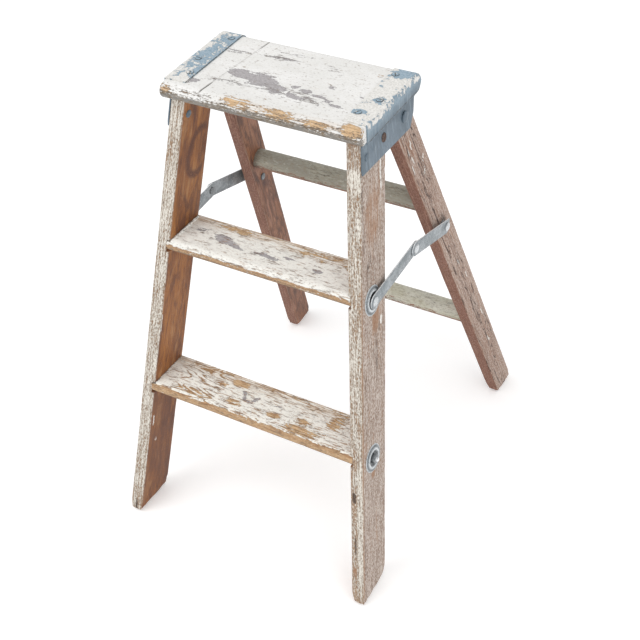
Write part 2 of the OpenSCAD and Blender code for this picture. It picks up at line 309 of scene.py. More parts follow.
class Block:
    """A dense rounded bar: local places (a, b, c), then its place in the row frame."""

    def __init__(self, size, step, radii, end_radii, extra_a=()):
        length, width, depth = size
        low_end, high_end = end_radii
        front_r, back_r = radii
        fine = max(0.4, min(front_r, back_r, 2.0) / 3)
        reach_b = max(radii)
        along = stations(length, step, 0.6, max(1.8, low_end, high_end))
        a = np.unique(np.concatenate([along, np.asarray(extra_a, float)]))
        b = stations(width, step, fine if reach_b < 4 else reach_b / 7, reach_b)
        c = stations(depth, step, fine if min(radii) < 4 else depth / 14, min(max(radii), depth / 2))
        where, faces = block_faces(len(a), len(b), len(c))
        local = np.stack([a[where[:, 0]], b[where[:, 1]], c[where[:, 2]]], 1)
        self.size, self.flat = np.array(size, float), local.copy()
        self.faces = [tuple(f) for f in faces]
        self.local = self._rounded(local, front_r, back_r, low_end, high_end)

    def _rounded(self, p, front_r, back_r, low_end, high_end):
        length, width, depth = self.size
        r = np.where(p[:, 1] < width / 2, front_r, back_r)
        core = np.stack([np.clip(p[:, 1], r, width - r), np.clip(p[:, 2], r, depth - r)], 1)
        d = p[:, 1:] - core
        square = np.abs(d).max(1)
        round_ = np.maximum(np.linalg.norm(d, axis=1), 1e-9)
        out = p.copy()
        out[:, 1:] = core + d * (square / round_)[:, None]
        end_radius = np.where(p[:, 0] < length / 2, low_end, high_end)
        from_end = np.minimum(p[:, 0], length - p[:, 0])
        t = np.clip(end_radius - from_end, 0, end_radius)
        inset = end_radius - np.sqrt(np.maximum(end_radius ** 2 - t ** 2, 0))
        for axis, half in ((1, width / 2), (2, depth / 2)):
            out[:, axis] = half + (out[:, axis] - half) * (1 - inset / half)
        return out

    def edge_distance(self):
        """Roughly how far each surface point is from the block's nearest edge."""
        d = np.sort(np.minimum(self.flat, self.size - self.flat), axis=1)
        return d[:, 1]

    def place(self, to_world):
        """Turns local places into the row frame."""
        self.world, self.faces, (self.local, self.flat) = merged(
            to_world(self.local), self.faces, [self.local, self.flat])
        self.faces = outward(self.world, self.faces)
        self.normals = vertex_normals(self.world, self.faces)

    def noise(self, size, seed, octaves=2):
        return noise(self.local, size, seed, octaves)

    def push(self, depth):
        """Moves the surface inward by depth, in millimetres."""
        self.world = self.world - self.normals * depth[:, None]

    def build(self, name, offset, **fields):
        """The object, with its grain coordinates and each named field as vertex attributes."""
        return add_fields(new_object(name, self.world, self.faces), self.local + offset, **fields)


def wear(block, seed, edge=2.5, chip=1.2, dent=0.35):
    """Rubs a block's edges down unevenly, chips them here and there and dents its faces."""
    near = 1 - smooth(0, edge, block.edge_distance())
    rub = near * (0.25 + 0.35 * (block.noise((60, 20, 20), seed) + 1) / 2)
    chips = near * chip * smooth(0.35, 0.75, block.noise((9, 7, 7), seed + 1))
    dents = dent * smooth(0.3, 0.9, block.noise((22, 12, 12), seed + 2))
    wave = 0.18 * block.noise((120, 40, 40), seed + 3)
    block.push(rub + chips + dents + wave)


def lathe(profile, turns=40):
    """Vertices and faces of a turned shape; the profile is (radius, height) from axis to axis."""
    vertices, faces, rings = [], [], []
    for r, h in profile:
        if r < 1e-6:
            rings.append([len(vertices)])
            vertices.append((0, 0, h))
        else:
            rings.append(list(range(len(vertices), len(vertices) + turns)))
            for k in range(turns):
                t = 2 * math.pi * k / turns
                vertices.append((r * math.cos(t), r * math.sin(t), h))
    closed = len(rings[0]) > 1 and len(rings[-1]) > 1
    pairs = list(zip(rings, rings[1:])) + ([(rings[-1], rings[0])] if closed else [])
    for lower, upper in pairs:
        for k in range(turns):
            n = (k + 1) % turns
            if len(lower) == 1:
                faces.append((lower[0], upper[n], upper[k]))
            elif len(upper) == 1:
                faces.append((lower[k], lower[n], upper[0]))
            else:
                faces.append((lower[k], lower[n], upper[n], upper[k]))
    vertices = np.array(vertices, float)
    return vertices, outward(vertices, faces)


def joined(parts):
    """Several (vertices, faces) as one."""
    vertices, faces, start = [], [], 0
    for v, f in parts:
        vertices.append(v)
        faces += [tuple(i + start for i in g) for g in f]
        start += len(v)
    return np.concatenate(vertices), faces


def placed(part, matrix):
    v, f = part
    m = np.array(matrix)
    return v @ m[:3, :3].T + m[:3, 3], f


def mirrored(part):
    """The same part on the other side of the ladder."""
    v, f = part
    return v * np.array([-1, 1, 1]), [tuple(reversed(g)) for g in f]


def along_x(point, x, inward=False):
    """A frame whose +Z is the ladder's +X (or -X), at side-view point (y, z)."""
    turn = Matrix.Rotation(math.radians(-90 if inward else 90), 4, "Y")
    return Matrix.Translation((x, *point)) @ turn


def on_front_face(point, out=0.0):
    """A frame on the right front rail's outer face at side-view point (y, z), +Z outward."""
    n, v = front_nv(*point)
    lean = Matrix.Translation((0, FEET_FRONT, 0)) @ Matrix.Rotation(-FRONT_LEAN, 4, "X")
    tilt = Matrix.Rotation(math.radians(90) - math.atan(FRONT_K), 4, "Y")
    return lean @ Matrix.Translation((front_half(v), n, v)) @ tilt @ Matrix.Translation((0, 0, out))


def dome_profile(r, h, foot=0.35, shank=None, depth=0.0):
    """A rounded rivet head of radius r and height h, with an optional shank below."""
    points = [(0, h)]
    for k in range(1, 9):
        t = math.radians(90) * k / 8
        points.append((r * math.sin(t), foot + (h - foot) * math.cos(t)))
    points.append((r * 0.97, 0))
    if shank:
        points += [(shank, 0), (shank, -depth), (0, -depth)]
    else:
        points.append((0, 0))
    return points


def rim_shade(part):
    """1 near the foot of a turned head and 0 on its dome, measured before it is placed."""
    v = part[0]
    r = np.hypot(v[:, 0], v[:, 1])
    return smooth(0.72, 0.92, r / r.max())


def both_sides(part):
    return [part, mirrored(part)]


# ---------------------------------------------------------------- materials
class Shader:
    """A small notation for node materials: every method returns an output socket.

    A colour is a socket or six hexadecimal digits.
    """

    def __init__(self, name, **constants):
        self.material = bpy.data.materials.new(name)
        self.material.use_nodes = True
        self.tree = self.material.node_tree
        self.tree.nodes.clear()
        output = self.tree.nodes.new("ShaderNodeOutputMaterial")
        self.surface = self.tree.nodes.new("ShaderNodeBsdfPrincipled")
        self.tree.links.new(self.surface.outputs[0], output.inputs["Surface"])
        for key, value in constants.items():
            self.surface.inputs[key.replace("_", " ")].default_value = value

    def put(self, socket, value):
        if isinstance(value, bpy.types.NodeSocket):
            self.tree.links.new(value, socket)
        else:
            socket.default_value = (*rgb(value), 1) if isinstance(value, str) else value

    def node(self, kind, output, inputs, **settings):
        """A new node with the given settings and inputs."""
        node = self.tree.nodes.new("ShaderNode" + kind)
        for key, value in settings.items():
            setattr(node, key, value)
        for key, value in inputs.items():
            self.put(node.inputs[key], value)
        return node.outputs[output]

    def field(self, name, output="Fac"):
        """What the piece's mesh carries under this name."""
        return self.node("Attribute", output, {}, attribute_name=name)

    def math(self, operation, a, b):
        return self.node("Math", 0, {0: a, 1: b}, operation=operation)

    def times(self, a, b):
        return self.math("MULTIPLY", a, b)

    def invert(self, a):
        return self.math("SUBTRACT", 1.0, a)

    def sway(self, noise, weight=1.0):
        """How far a noise is from its middle, times a weight."""
        return self.times(self.math("SUBTRACT", noise, 0.5), weight)

    def total(self, *terms):
        """The sum of sockets, each alone or as (socket, weight)."""
        sockets = [self.times(*term) if isinstance(term, tuple) else term for term in terms]
        return functools.reduce(functools.partial(self.math, "ADD"), sockets)

    def stretch(self, vector, scale):
        return self.node("VectorMath", 0, {0: vector, 1: scale}, operation="MULTIPLY")

    def noise(self, vector, scale, detail, roughness=0.55, distortion=0.0):
        return self.node("TexNoise", "Fac", {"Vector": vector, "Scale": scale, "Detail": detail,
                                             "Roughness": roughness, "Distortion": distortion})

    def grained(self, along, across, *settings):
        """Noise drawn out along the grain, from its frequencies per millimetre."""
        grain = self.field("grain", "Vector")
        return self.noise(self.stretch(grain, (along, across, across)), 1.0, *settings)

    def folded(self, noise, times):
        """A noise folded back and forth, which makes contour lines of it."""
        return self.math("PINGPONG", self.times(noise, times), 0.5)

    def step(self, value, low, high):
        """0 below low, 1 above high and smooth between; high may be the lower one."""
        return self.node("MapRange", "Result", {"Value": value, "From Min": low, "From Max": high},
                         interpolation_type="SMOOTHSTEP")

    def line(self, value, centre, half):
        """1 where value is close to centre, 0 further than half from it."""
        return self.step(self.math("ABSOLUTE", self.math("SUBTRACT", value, centre), 0.0), half, 0.0)

    def mix(self, share, a, b):
        """A colour between a and b."""
        return self.node("Mix", 2, {0: share, 6: a, 7: b}, data_type="RGBA")

    def blend(self, share, a, b):
        """A number between a and b."""
        return self.node("Mix", 0, {0: share, 2: a, 3: b})

    def over(self, color, coat, mask, strength):
        """A coat laid over a colour where its mask is, at a strength."""
        return self.mix(self.times(mask, strength), color, coat)

    def coats(self, color, *coats):
        """Coats over a colour, in turn: (coat, field, low, high, strength)."""
        for coat, field, low, high, strength in coats:
            color = self.over(color, coat, self.step(field, low, high), strength)
        return color

    def finish(self, color, roughness, height, relief, distance):
        self.put(self.surface.inputs["Base Color"], color)
        self.put(self.surface.inputs["Roughness"], roughness)
        bump = {"Strength": relief, "Distance": distance, "Height": height}
        self.put(self.surface.inputs["Normal"], self.node("Bump", 0, bump))
        return self.material


def rgb(text):
    """A linear colour from its usual six hexadecimal digits."""
    parts = [int(text[i:i + 2], 16) / 255 for i in (0, 2, 4)]
    return tuple(c / 12.92 if c <= 0.04045 else ((c + 0.055) / 1.055) ** 2.4 for c in parts)


def white_paint_material():
    """Off-white paint, flaked to grey primer and to bare wood where it is worn."""
    s = Shader("white_paint", Specular_IOR_Level=0.3)
    flakes = s.grained(0.07, 0.2, 6.0, 0.66, 0.5)
    grit = s.grained(0.3, 0.65, 4.0, 0.65, 0.3)
    streaks = s.grained(0.03, 0.5, 4.0, 0.6, 0.6)
    broad = s.grained(0.012, 0.03, 3.0)
    rings = s.folded(s.grained(0.012, 0.06, 1.0, 0.4, 0.5), 12.0)
    crackle = s.folded(s.grained(0.018, 0.2, 3.0, 0.5, 0.7), 5.0)
    cream, figured = s.field("cream"), s.field("figured")

    wood = s.coats(s.mix(s.step(streaks, 0.42, 0.6), "dcbe97", "c5a47e"),
                   ("a08060", grit, 0.5, 0.62, 0.45), ("d9cdbd", grit, 0.42, 0.34, 0.6))
    soiled = s.mix(s.step(grit, 0.4, 0.6), "997455", "755442")
    wood = s.over(wood, soiled, s.field("stain"), 0.85)
    # On the treads the paint is mixed towards a brighter cream as painted light, lifting treads that lie in the
    # shade of the board and rails.
    paint = s.mix(cream, s.mix(s.step(broad, 0.35, 0.65), "e0dfdc", "e8e7e5"), "f5f3ea")
    paint = s.coats(paint, ("cdcac5", grit, 0.5, 0.62, 0.45), ("d6d2cb", flakes, 0.52, 0.64, 0.35))
    paint = s.over(paint, "b99c7c", s.field("tan"), s.step(streaks, 0.38, 0.6))
    primer = s.mix(s.step(grit, 0.42, 0.6), "b1adae", "999596")

    ragged = s.total(s.sway(flakes, 1.9), s.sway(grit), s.sway(streaks))
    along_rings = s.times(figured, s.times(s.math("SUBTRACT", rings, 0.25), 2.3))
    bare = s.total(s.field("bare"), s.times(ragged, s.invert(s.times(figured, 0.6))), along_rings)
    to_wood = s.step(bare, 0.47, 0.55)
    chipped = s.step(s.total(s.field("loss"), ragged), 0.48, 0.54)
    color = s.mix(to_wood, s.mix(chipped, paint, primer), wood)
    split = s.times(s.step(s.grained(0.07, 0.55, 2.0, 0.5, 0.5), 0.555, 0.6),
                    s.step(s.total(bare, (cream, 0.2)), 0.1, 0.42))
    color = s.over(color, "a27c5a", split, s.field("worn"))
    ringed = s.times(s.step(rings, 0.31, 0.43), s.step(grit, 0.38, 0.48))
    color = s.over(color, "93704f", s.times(s.step(figured, 0.35, 0.65), ringed), 0.65)

    crack = s.times(s.step(crackle, 0.13, 0.03), s.step(s.total(flakes, s.field("cracked")), 0.92, 1.02))
    pits = s.step(s.grained(0.16, 0.33, 2.0, 0.5, 0.4), 0.665, 0.685)
    # The grime field darkens the paint with dirt and with painted shade, such as the shadow strip where a tread
    # meets the left rail.
    grime = s.step(s.total(s.field("grime"), s.sway(grit, 2.2), s.sway(streaks, 1.6)), 0.42, 0.66)
    kerf = s.times(s.field("kerf"), s.step(grit, 0.33, 0.46))
    color = s.over(color, s.mix(cream, "7d7068", "8d684c"), crack, 0.75)
    color = s.over(color, "a19588", pits, 0.5)
    color = s.over(color, s.mix(s.step(flakes, 0.42, 0.58), "625d57", "807363"), grime, 0.85)
    color = s.mix(kerf, color, "453b34")
    lost = s.math("MAXIMUM", chipped, to_wood)
    height = s.total(s.invert(lost), (s.invert(to_wood), 0.5), (grit, 0.35), (crack, -1.2), (kerf, -1.0),
                     (pits, -0.8))
    return s.finish(color, s.blend(lost, 0.55, 0.8), height, 0.8, 0.0005)


def rail_material(name, speckle, p):
    """A weathered rail: speckled outer face, part-painted front edge, bare inner and back faces."""
    s = Shader(name, Specular_IOR_Level=0.3)
    broad = s.grained(0.008, 0.04, 3.0, 0.5)
    bands = s.grained(0.011, 0.13, 3.0, 0.5, 0.7)
    streak = s.grained(0.03, 0.6, 4.0, 0.6, 0.3)
    grit = s.grained(0.27, 0.75, 4.0, 0.7, 0.2)
    fine = s.grained(0.6, 1.6, 3.0, 0.6)
    speck = s.grained(0.26, 0.62, 2.0, 0.6)
    stains = s.grained(0.02, 0.07, 4.0, 0.6, 0.5)
    rings = s.folded(s.grained(0.0045, 0.055, 1.0, 0.4, 0.6), 13.0)
    is_front, is_inner = s.field("is_front"), s.field("is_inner")

    outer = s.coats(s.mix(s.step(broad, 0.38, 0.62), p.outer_a, p.outer_b),
                    (p.outer_dark, streak, 0.5, 0.6, 0.6),
                    (p.outer_light, s.total(grit, s.sway(streak, -0.6)), 0.48, 0.58, speckle),
                    (p.outer_dark, grit, 0.46, 0.37, 0.85),
                    (p.outer_light, speck, 0.55, 0.63, 0.6),
                    (p.outer_dark, speck, 0.45, 0.37, 0.5))
    outer = s.over(outer, p.rust, s.times(s.step(bands, 0.58, 0.66), s.step(grit, 0.6, 0.48)), 0.45)

    edge_wood = s.coats(s.mix(s.step(streak, 0.42, 0.6), p.edge_wood, p.edge_dark),
                        (p.outer_light, grit, 0.5, 0.62, 0.5))
    edge_paint = s.mix(s.step(fine, 0.4, 0.6), p.edge_paint, p.edge_paint_b)
    cover = s.total(s.field("paint"), s.sway(grit, 2.0), s.sway(streak, 2.0), s.sway(bands, 0.5))
    covered = s.step(cover, 0.36, 0.64)
    front = s.coats(s.mix(covered, edge_wood, edge_paint),
                    (p.edge_dark, streak, 0.47, 0.4, 0.45), (p.edge_light, streak, 0.54, 0.6, 0.45),
                    (p.edge_dark, speck, 0.46, 0.37, speckle), (p.edge_light, speck, 0.54, 0.62, speckle))

    inner = s.coats(s.mix(s.step(broad, 0.4, 0.6), p.inner_a, p.inner_b),
                    (p.inner_dark, rings, 0.25, 0.5, 0.75), (p.knot, stains, 0.51, 0.64, 0.7),
                    (p.inner_light, stains, 0.47, 0.34, 0.5))
    inner = s.coats(s.over(inner, p.knot, s.line(bands, 0.52, 0.03), 0.6),
                    (p.inner_dark, streak, 0.5, 0.62, 0.4), (p.outer_light, grit, 0.6, 0.68, 0.15))
    inner = s.over(inner, p.knot, s.field("knot"), s.step(grit, 0.34, 0.48))

    rust = s.total(s.field("rust"), s.sway(streak, 1.8), s.sway(grit, 1.4))
    drips = s.step(s.total(s.field("drips"), s.sway(grit, 1.5)), 0.42, 0.55)
    crack = s.times(s.line(bands, 0.5, 0.022), s.step(s.field("cracked"), 0.3, 0.6))
    # The grime field darkens with dirt, and with painted shade in the tread slots.
    grime = s.total(s.field("grime"), s.sway(grit, 1.2))
    color = s.coats(s.mix(is_front, s.mix(is_inner, outer, inner), front), (p.rust, rust, 0.35, 0.8, 0.7))
    color = s.over(s.mix(drips, color, p.drip), p.crack, crack, 0.9)
    color = s.coats(color, (p.crack, grime, 0.4, 0.9, 0.85))
    height = s.total((streak, 0.9), (grit, 0.9), (fine, 0.25), (crack, -1.6), (drips, 0.7),
                     (s.times(is_front, covered), 0.7))
    return s.finish(color, s.blend(is_inner, 0.8, 0.55), height, 0.8, 0.0006)


def rung_material():
    """Grey-green paint worn thin on top, brown wood below."""
    s = Shader("rung_wood", Specular_IOR_Level=0.3)
    broad = s.grained(0.02, 0.06, 3.0)
    grit = s.grained(0.2, 0.5, 4.0, 0.65)
    streak = s.grained(0.03, 0.35, 4.0, 0.6, 0.4)
    uneven = s.step(broad, 0.35, 0.65)
    paint = s.mix(s.field("tint"), s.mix(uneven, "969388", "a8a597"), s.mix(uneven, "bcbaa8", "cfcdc0"))
    paint = s.coats(paint, ("918572", grit, 0.5, 0.62, 0.5), ("d3d0c6", grit, 0.42, 0.34, 0.5))
    wood = s.mix(s.step(streak, 0.4, 0.62), "8b6753", "6e4f40")
    mask = s.step(s.total(s.field("up"), s.sway(grit, 1.1), s.sway(streak, 0.9)), 0.38, 0.55)
    crack = s.times(s.line(streak, 0.5, 0.014), s.step(broad, 0.48, 0.56))
    color = s.over(s.mix(mask, wood, paint), "4f4036", crack, 0.8)
    # Darker near the rung's ends, where the grime field is set.
    color = s.over(color, "4b3b33", s.field("grime"), 0.7)
    height = s.total((grit, 0.9), (mask, 0.5), (crack, -1.0))
    return s.finish(color, 0.65, height, 0.7, 0.0005)


def blue_paint_material():
    """Blue-grey paint on pressed steel, white drips over it and a little rust."""
    s = Shader("blue_paint", Metallic=0.0, Specular_IOR_Level=0.4)
    place = s.node("TexCoord", "Object", {})
    broad = s.noise(place, 25.0, 3.0)
    fine = s.noise(place, 420.0, 4.0, 0.65)
    medium = s.noise(place, 150.0, 5.0, 0.65, 0.4)
    runs = s.noise(s.stretch(place, (260.0, 260.0, 40.0)), 1.0, 4.0, 0.6)
    large = s.noise(s.stretch(place, (70.0, 70.0, 45.0)), 1.0, 3.0, 0.55, 0.3)
    side = s.coats(s.mix(s.step(broad, 0.4, 0.6), "5a6873", "687682"),
                   ("808f9a", runs, 0.5, 0.64, 0.6), ("4a5660", fine, 0.54, 0.64, 0.35))
    top = s.coats(s.mix(s.step(fine, 0.42, 0.6), "8299a8", "9caebb"), ("6f8290", medium, 0.56, 0.62, 0.5))
    cover = s.total(s.field("white"), s.sway(medium, 1.5), s.sway(large, 1.6), s.sway(fine, 0.7))
    white = s.step(cover, 0.48, 0.53)
    rust = s.step(s.total(s.field("rust"), s.sway(fine, 1.6)), 0.62, 0.74)
    # The seam field darkens the strap's edge and the bend at the ledge, and lays painted shadow in the strap
    # screws' slots and round their rims.
    seam = s.step(s.total(s.field("seam"), s.sway(fine, 0.8)), 0.45, 0.6)
    paint = s.mix(s.step(fine, 0.4, 0.62), "e4e2de", "cfcdc8")
    color = s.mix(white, s.mix(s.field("strap"), side, top), paint)
    color = s.over(s.mix(rust, color, "6a4a3c"), "4a4c4c", seam, 0.85)
    height = s.total(white, (runs, 0.6), (fine, 0.35), (rust, -0.5), (seam, -1.0))
    return s.finish(color, s.blend(white, 0.45, 0.6), height, 0.7, 0.0005)


def galvanised_material():
    """Dull zinc: mottling, painted shade in grooves and round rims, and painted highlights on edges and domes."""
    s = Shader("galvanised", Metallic=0.4, Specular_IOR_Level=0.5)
    place = s.node("TexCoord", "Object", {})
    soft = s.noise(place, 70.0, 4.0, 0.6)
    medium = s.noise(place, 420.0, 3.0, 0.6)
    fine = s.noise(place, 900.0, 3.0, 0.6)
    # The last two coats are painted shade and painted highlights, placed by the mesh's shade and highlight fields.
    color = s.coats(s.mix(s.step(soft, 0.38, 0.64), "9da3a7", "81888c"),
                    ("6b7073", medium, 0.5, 0.64, 0.6), ("c3cacf", medium, 0.42, 0.34, 0.5),
                    ("484b4d", fine, 0.3, 0.5, s.field("shade")),
                    ("f2f5f7", medium, 0.75, 0.5, s.field("bright")))
    return s.finish(color, s.blend(soft, 0.32, 0.5), s.total(fine, medium), 0.35, 0.0003)


def rusty_material():
    """Brown rust on a screw or nail head."""
    s = Shader("rusty_steel", Metallic=0.2)
    fine = s.noise(s.node("TexCoord", "Object", {}), 500.0, 4.0, 0.65)
    return s.finish(s.mix(s.step(fine, 0.35, 0.65), "463b38", "6b564c"), 0.7, fine, 0.5, 0.0003)


FRONT_WOOD = SimpleNamespace(
    outer_a="a99588", outer_b="a08b7c", outer_dark="6d574a", outer_light="d3cac2",
    edge_light="eae6dd", edge_wood="ab9076", edge_dark="7a604d", edge_paint="dbd6cc", edge_paint_b="c8c0b4",
    inner_a="a56d3b", inner_b="8c5a35", inner_dark="724a35", inner_light="b98a5c", knot="5f3c2e",
    rust="9c7354", drip="e6e3dd", crack="42332b")
REAR_WOOD = SimpleNamespace(
    outer_a="af998c", outer_b="a08678", outer_dark="806658", outer_light="c4b6ac",
    edge_light="a98574", edge_wood="8a6353", edge_dark="70493d", edge_paint="906b5a", edge_paint_b="7d584b",
    inner_a="97694d", inner_b="845840", inner_dark="634336", inner_light="b0826a", knot="4a312b",
    rust="8f6850", drip="dad5ce", crack="3b2a25")

MATERIALS = {
    "white_paint": white_paint_material(),
    "front_wood": rail_material("front_wood", 0.7, FRONT_WOOD),
    "rear_wood": rail_material("rear_wood", 0.5, REAR_WOOD),
    "rung_wood": rung_material(),
    "blue_paint": blue_paint_material(),
    "galvanised": galvanised_material(),
    "rusty_steel": rusty_material(),
}


def dress(obj, body, slot, *nodes):
    """Gives a piece its material, its body and the CAD nodes that it stands for."""
    obj.data.materials.clear()
    obj.data.materials.append(MATERIALS[slot])
    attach(obj, body)
    if nodes:
        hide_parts(*nodes)


# ---------------------------------------------------------------- wooden pieces
def make_top_board():
    """The paint-worn top plank with full round front and back noses and a kerf across it."""
    depth = BOARD_BACK - BOARD_FRONT
    kerf_at = BOARD_HALF + KERF_X
    lines = [kerf_at + d for d in (-1.8, -0.8, 0.0, 0.8, 1.8)]
    nose_r = BOARD_T / 2
    block = Block((2 * BOARD_HALF, depth, BOARD_T), 2.5, (nose_r, nose_r), (1.0, 1.0), lines)
    near = np.clip(1 - np.abs(block.flat[:, 0] - kerf_at) / 45, 0, 1)
    block.local[:, 0] += near * (block.flat[:, 1] - depth / 2) * 0.1
    block.place(lambda p: p + (-BOARD_HALF, BOARD_FRONT, BOARD_UNDER))
    x, y, z = block.world[:, 0], block.world[:, 1] - BOARD_FRONT, block.world[:, 2]
    off_kerf = np.abs(block.flat[:, 0] - kerf_at)
    upper = smooth(HEIGHT - 9, HEIGHT - 3, z)
    open_kerf = most(1 - smooth(24, 36, y), 0.8 * smooth(112, 122, y), 0.25) * upper * smooth(3, 8, y)
    kerf = smooth(1.2, 0.3, off_kerf) * open_kerf
    nose = smooth(12.0, 2.0, y)
    back = smooth(depth - 10, depth - 2, y)
    chips = nose * smooth(0.2, 0.7, block.noise((14, 6, 6), 5))
    dents = 0.3 * smooth(0.2, 0.8, block.noise((24, 14, 14), 9))
    block.push(chips + dents + 1.2 * kerf + 0.15 * block.noise((70, 25, 25), 13))
    primer = patches(x, y, [
        ((-46, 57), (36, 12), -4, 1.0), ((-24, 54), (30, 18), -8, 1.0), ((-2, 46), (20, 12), -20, 1.0),
        ((-58, 63), (18, 6), 10, 0.9), ((26, 38), (17, 7), -12, 0.85), ((33, 53), (13, 6), 0, 0.85),
        ((18, 56), (9, 5), 20, 0.7), ((42, 42), (8, 5), 0, 0.75), ((66, 44), (9, 4), 0, 0.7),
        ((52, 49), (14, 4.5), 0, 0.8), ((79, 38), (14, 5), -8, 0.8), ((96, 66), (7, 3.5), 0, 0.7),
        ((56, 71), (9, 4), -20, 0.8), ((-97, 24), (14, 8), 0, 0.75), ((4, 36), (18, 4), 0, 0.6)])
    scratch = patches(x, y, [((-30, 107), (40, 7), 0, 0.6), ((-86, 101), (24, 6), 0, 0.6),
                             ((43, 106), (22, 9), -25, 0.3), ((-20, 120), (40, 5), 0, 0.5),
                             ((-60, 36), (60, 10), 0, 0.35), ((20, 40), (90, 16), -5, 0.4)])
    worn = patches(x, y, [
        ((-26, 6), (26, 9), 0, 0.62), ((24, 3), (30, 8), 0, 0.66), ((74, 0), (24, 8), 0, 0.66),
        ((116, 5), (18, 14), 0, 0.85), ((-120, 0), (12, 9), 0, 0.6), ((94, 116), (8, 4), 0, 0.62)])
    under = smooth(BOARD_UNDER + 13, BOARD_UNDER + 4, z)
    loss = np.maximum(primer, scratch * 0.75) * upper + 0.03 + nose * 0.2 + back * 0.2
    bare = worn * smooth(HEIGHT - 15, HEIGHT - 5, z) * 0.85 + nose * 0.2 + under * 0.12
    # Darker low on the front nose, under the board and on its back nose.
    grime = nose * (0.26 + 0.5 * smooth(HEIGHT - 4, HEIGHT - 11, z)) + 0.25 * under + 0.03 + 0.3 * back
    cracked = 0.27 + 0.2 * nose + 0.5 * np.clip(scratch * 1.5, 0, 1)
    tan = nose * smooth(HEIGHT - 16, HEIGHT - 4, z) * 0.6 * smooth(-60, -20, x)
    board = block.build("top_board_planks", 40.0, loss=loss, bare=bare, grime=np.clip(grime, 0, 1),
                        stain=under * 0.25 + nose * 0.22, kerf=kerf, cracked=cracked, tan=tan,
                        figured=0.0, cream=0.0, worn=0.0)
    dress(board, "front_frame", "white_paint", "top_board")


def make_tread(which, seed, primer_spots, bare_spots, worn, figured):
    """A tread with a full round nose, its ends cut to the rails' splay."""
    top = TREAD_TOPS[which]
    mid = top - TREAD_T / 2
    front = front_edge_y(mid) - 1
    back_n = FRONT_W - 1

    def back_y(z):
        return FEET_FRONT + (back_n + z * math.sin(FRONT_LEAN)) / math.cos(FRONT_LEAN)

    def end_x(y, z):
        return front_half(front_nv(y, z)[1]) - FRONT_T + DADO - 0.1

    length = 2 * end_x(front, mid)
    width = back_y(mid) - front
    block = Block((length, width, TREAD_T), 2.2, (TREAD_T / 2, 1.5), (0.6, 0.6))

    def to_world(p):
        z = top - TREAD_T + p[:, 2]
        y = front + (back_y(z) - front) * p[:, 1] / width
        x = end_x(y, z) * (2 * p[:, 0] / length - 1)
        return np.stack([x, y, z], 1)

    block.place(to_world)
    x, y, z = block.world[:, 0], block.world[:, 1] - front, block.world[:, 2]
    nose = smooth(9.0, 1.0, y)
    near_back = smooth(width - 22, width - 1, y)
    middle = 1 - smooth(0.2, 0.5, np.abs(x / length))
    rubbed = smooth(top - 5, top, z) * 0.5 * block.noise((50, 18, 18), seed)
    chips = (nose + near_back) * smooth(0.3, 0.8, block.noise((14, 6, 6), seed + 1)) * 0.8
    block.push(chips + 0.35 * np.clip(rubbed, 0, 1) + 0.3 * middle * nose)
    upper = smooth(top - 8, top - 2.5, z)
    under = smooth(top - TREAD_T + 9, top - TREAD_T + 3, z)
    nose_top = top - 5.5 + 7.5 * worn
    reach = 5 + 3 * worn
    low_nose = smooth(reach + 2, reach - 2, y) * smooth(nose_top + 1, nose_top - 3, z)
    ends = smooth(length / 2 - 34, length / 2 - 18, -x)
    loss = patches(x, y, primer_spots) * upper + worn * 0.06 + 0.1 * nose
    bare = (patches(x, y, bare_spots) + near_back * 0.2 - 0.3 * ends) * upper + worn * 0.27 - 0.03
    bare = np.maximum(bare + 0.1 * nose, np.maximum(under * 0.95, low_nose * (0.7 + 0.3 * worn)))
    stain = np.maximum(under * 0.9, low_nose * (0.75 - 0.35 * worn))
    # Darker low on the nose, underneath and towards the back.
    grime = (0.3 - 0.25 * worn) * nose * (1 - upper) + 0.35 * under + 0.1 * near_back
    # A painted shadow strip on the tread's top where it meets the left rail.
    from_rail = x + length / 2 - DADO - (y - width / 2) * FRONT_K * math.sin(FRONT_LEAN)
    grime = np.maximum(grime, 0.95 * smooth(2.8, 1.6, from_rail) * smooth(top - 3, top - 1, z))
    figure = figured * np.maximum(0.3, 1 - smooth(-70, -45, x)) * upper * (1 - ends)
    # The paint on the treads' tops is brightened as painted light, more on the lower tread.
    tread = block.build(f"{which}_tread_board", 300.0 * seed, loss=loss, bare=bare,
                        grime=np.clip(grime, 0, 1), stain=stain, kerf=0.0, cracked=0.43 + 0.04 * worn,
                        figured=figure, tan=near_back * 0.9 * upper, cream=upper * (0.4 + 0.6 * worn),
                        worn=(0.35 + 0.6 * worn) * upper)
    dress(tread, "front_frame", "white_paint", f"{which}_tread")


def face_fields(block, depth):
    """How far each point belongs to the front edge and to the inner face of a rail."""
    b, c = block.flat[:, 1], block.flat[:, 2]
    is_front = smooth(1.6, 0.0, b)
    is_inner = smooth(depth - 1.6, depth, c) * smooth(0.4, 2.0, b)
    return is_front, is_inner


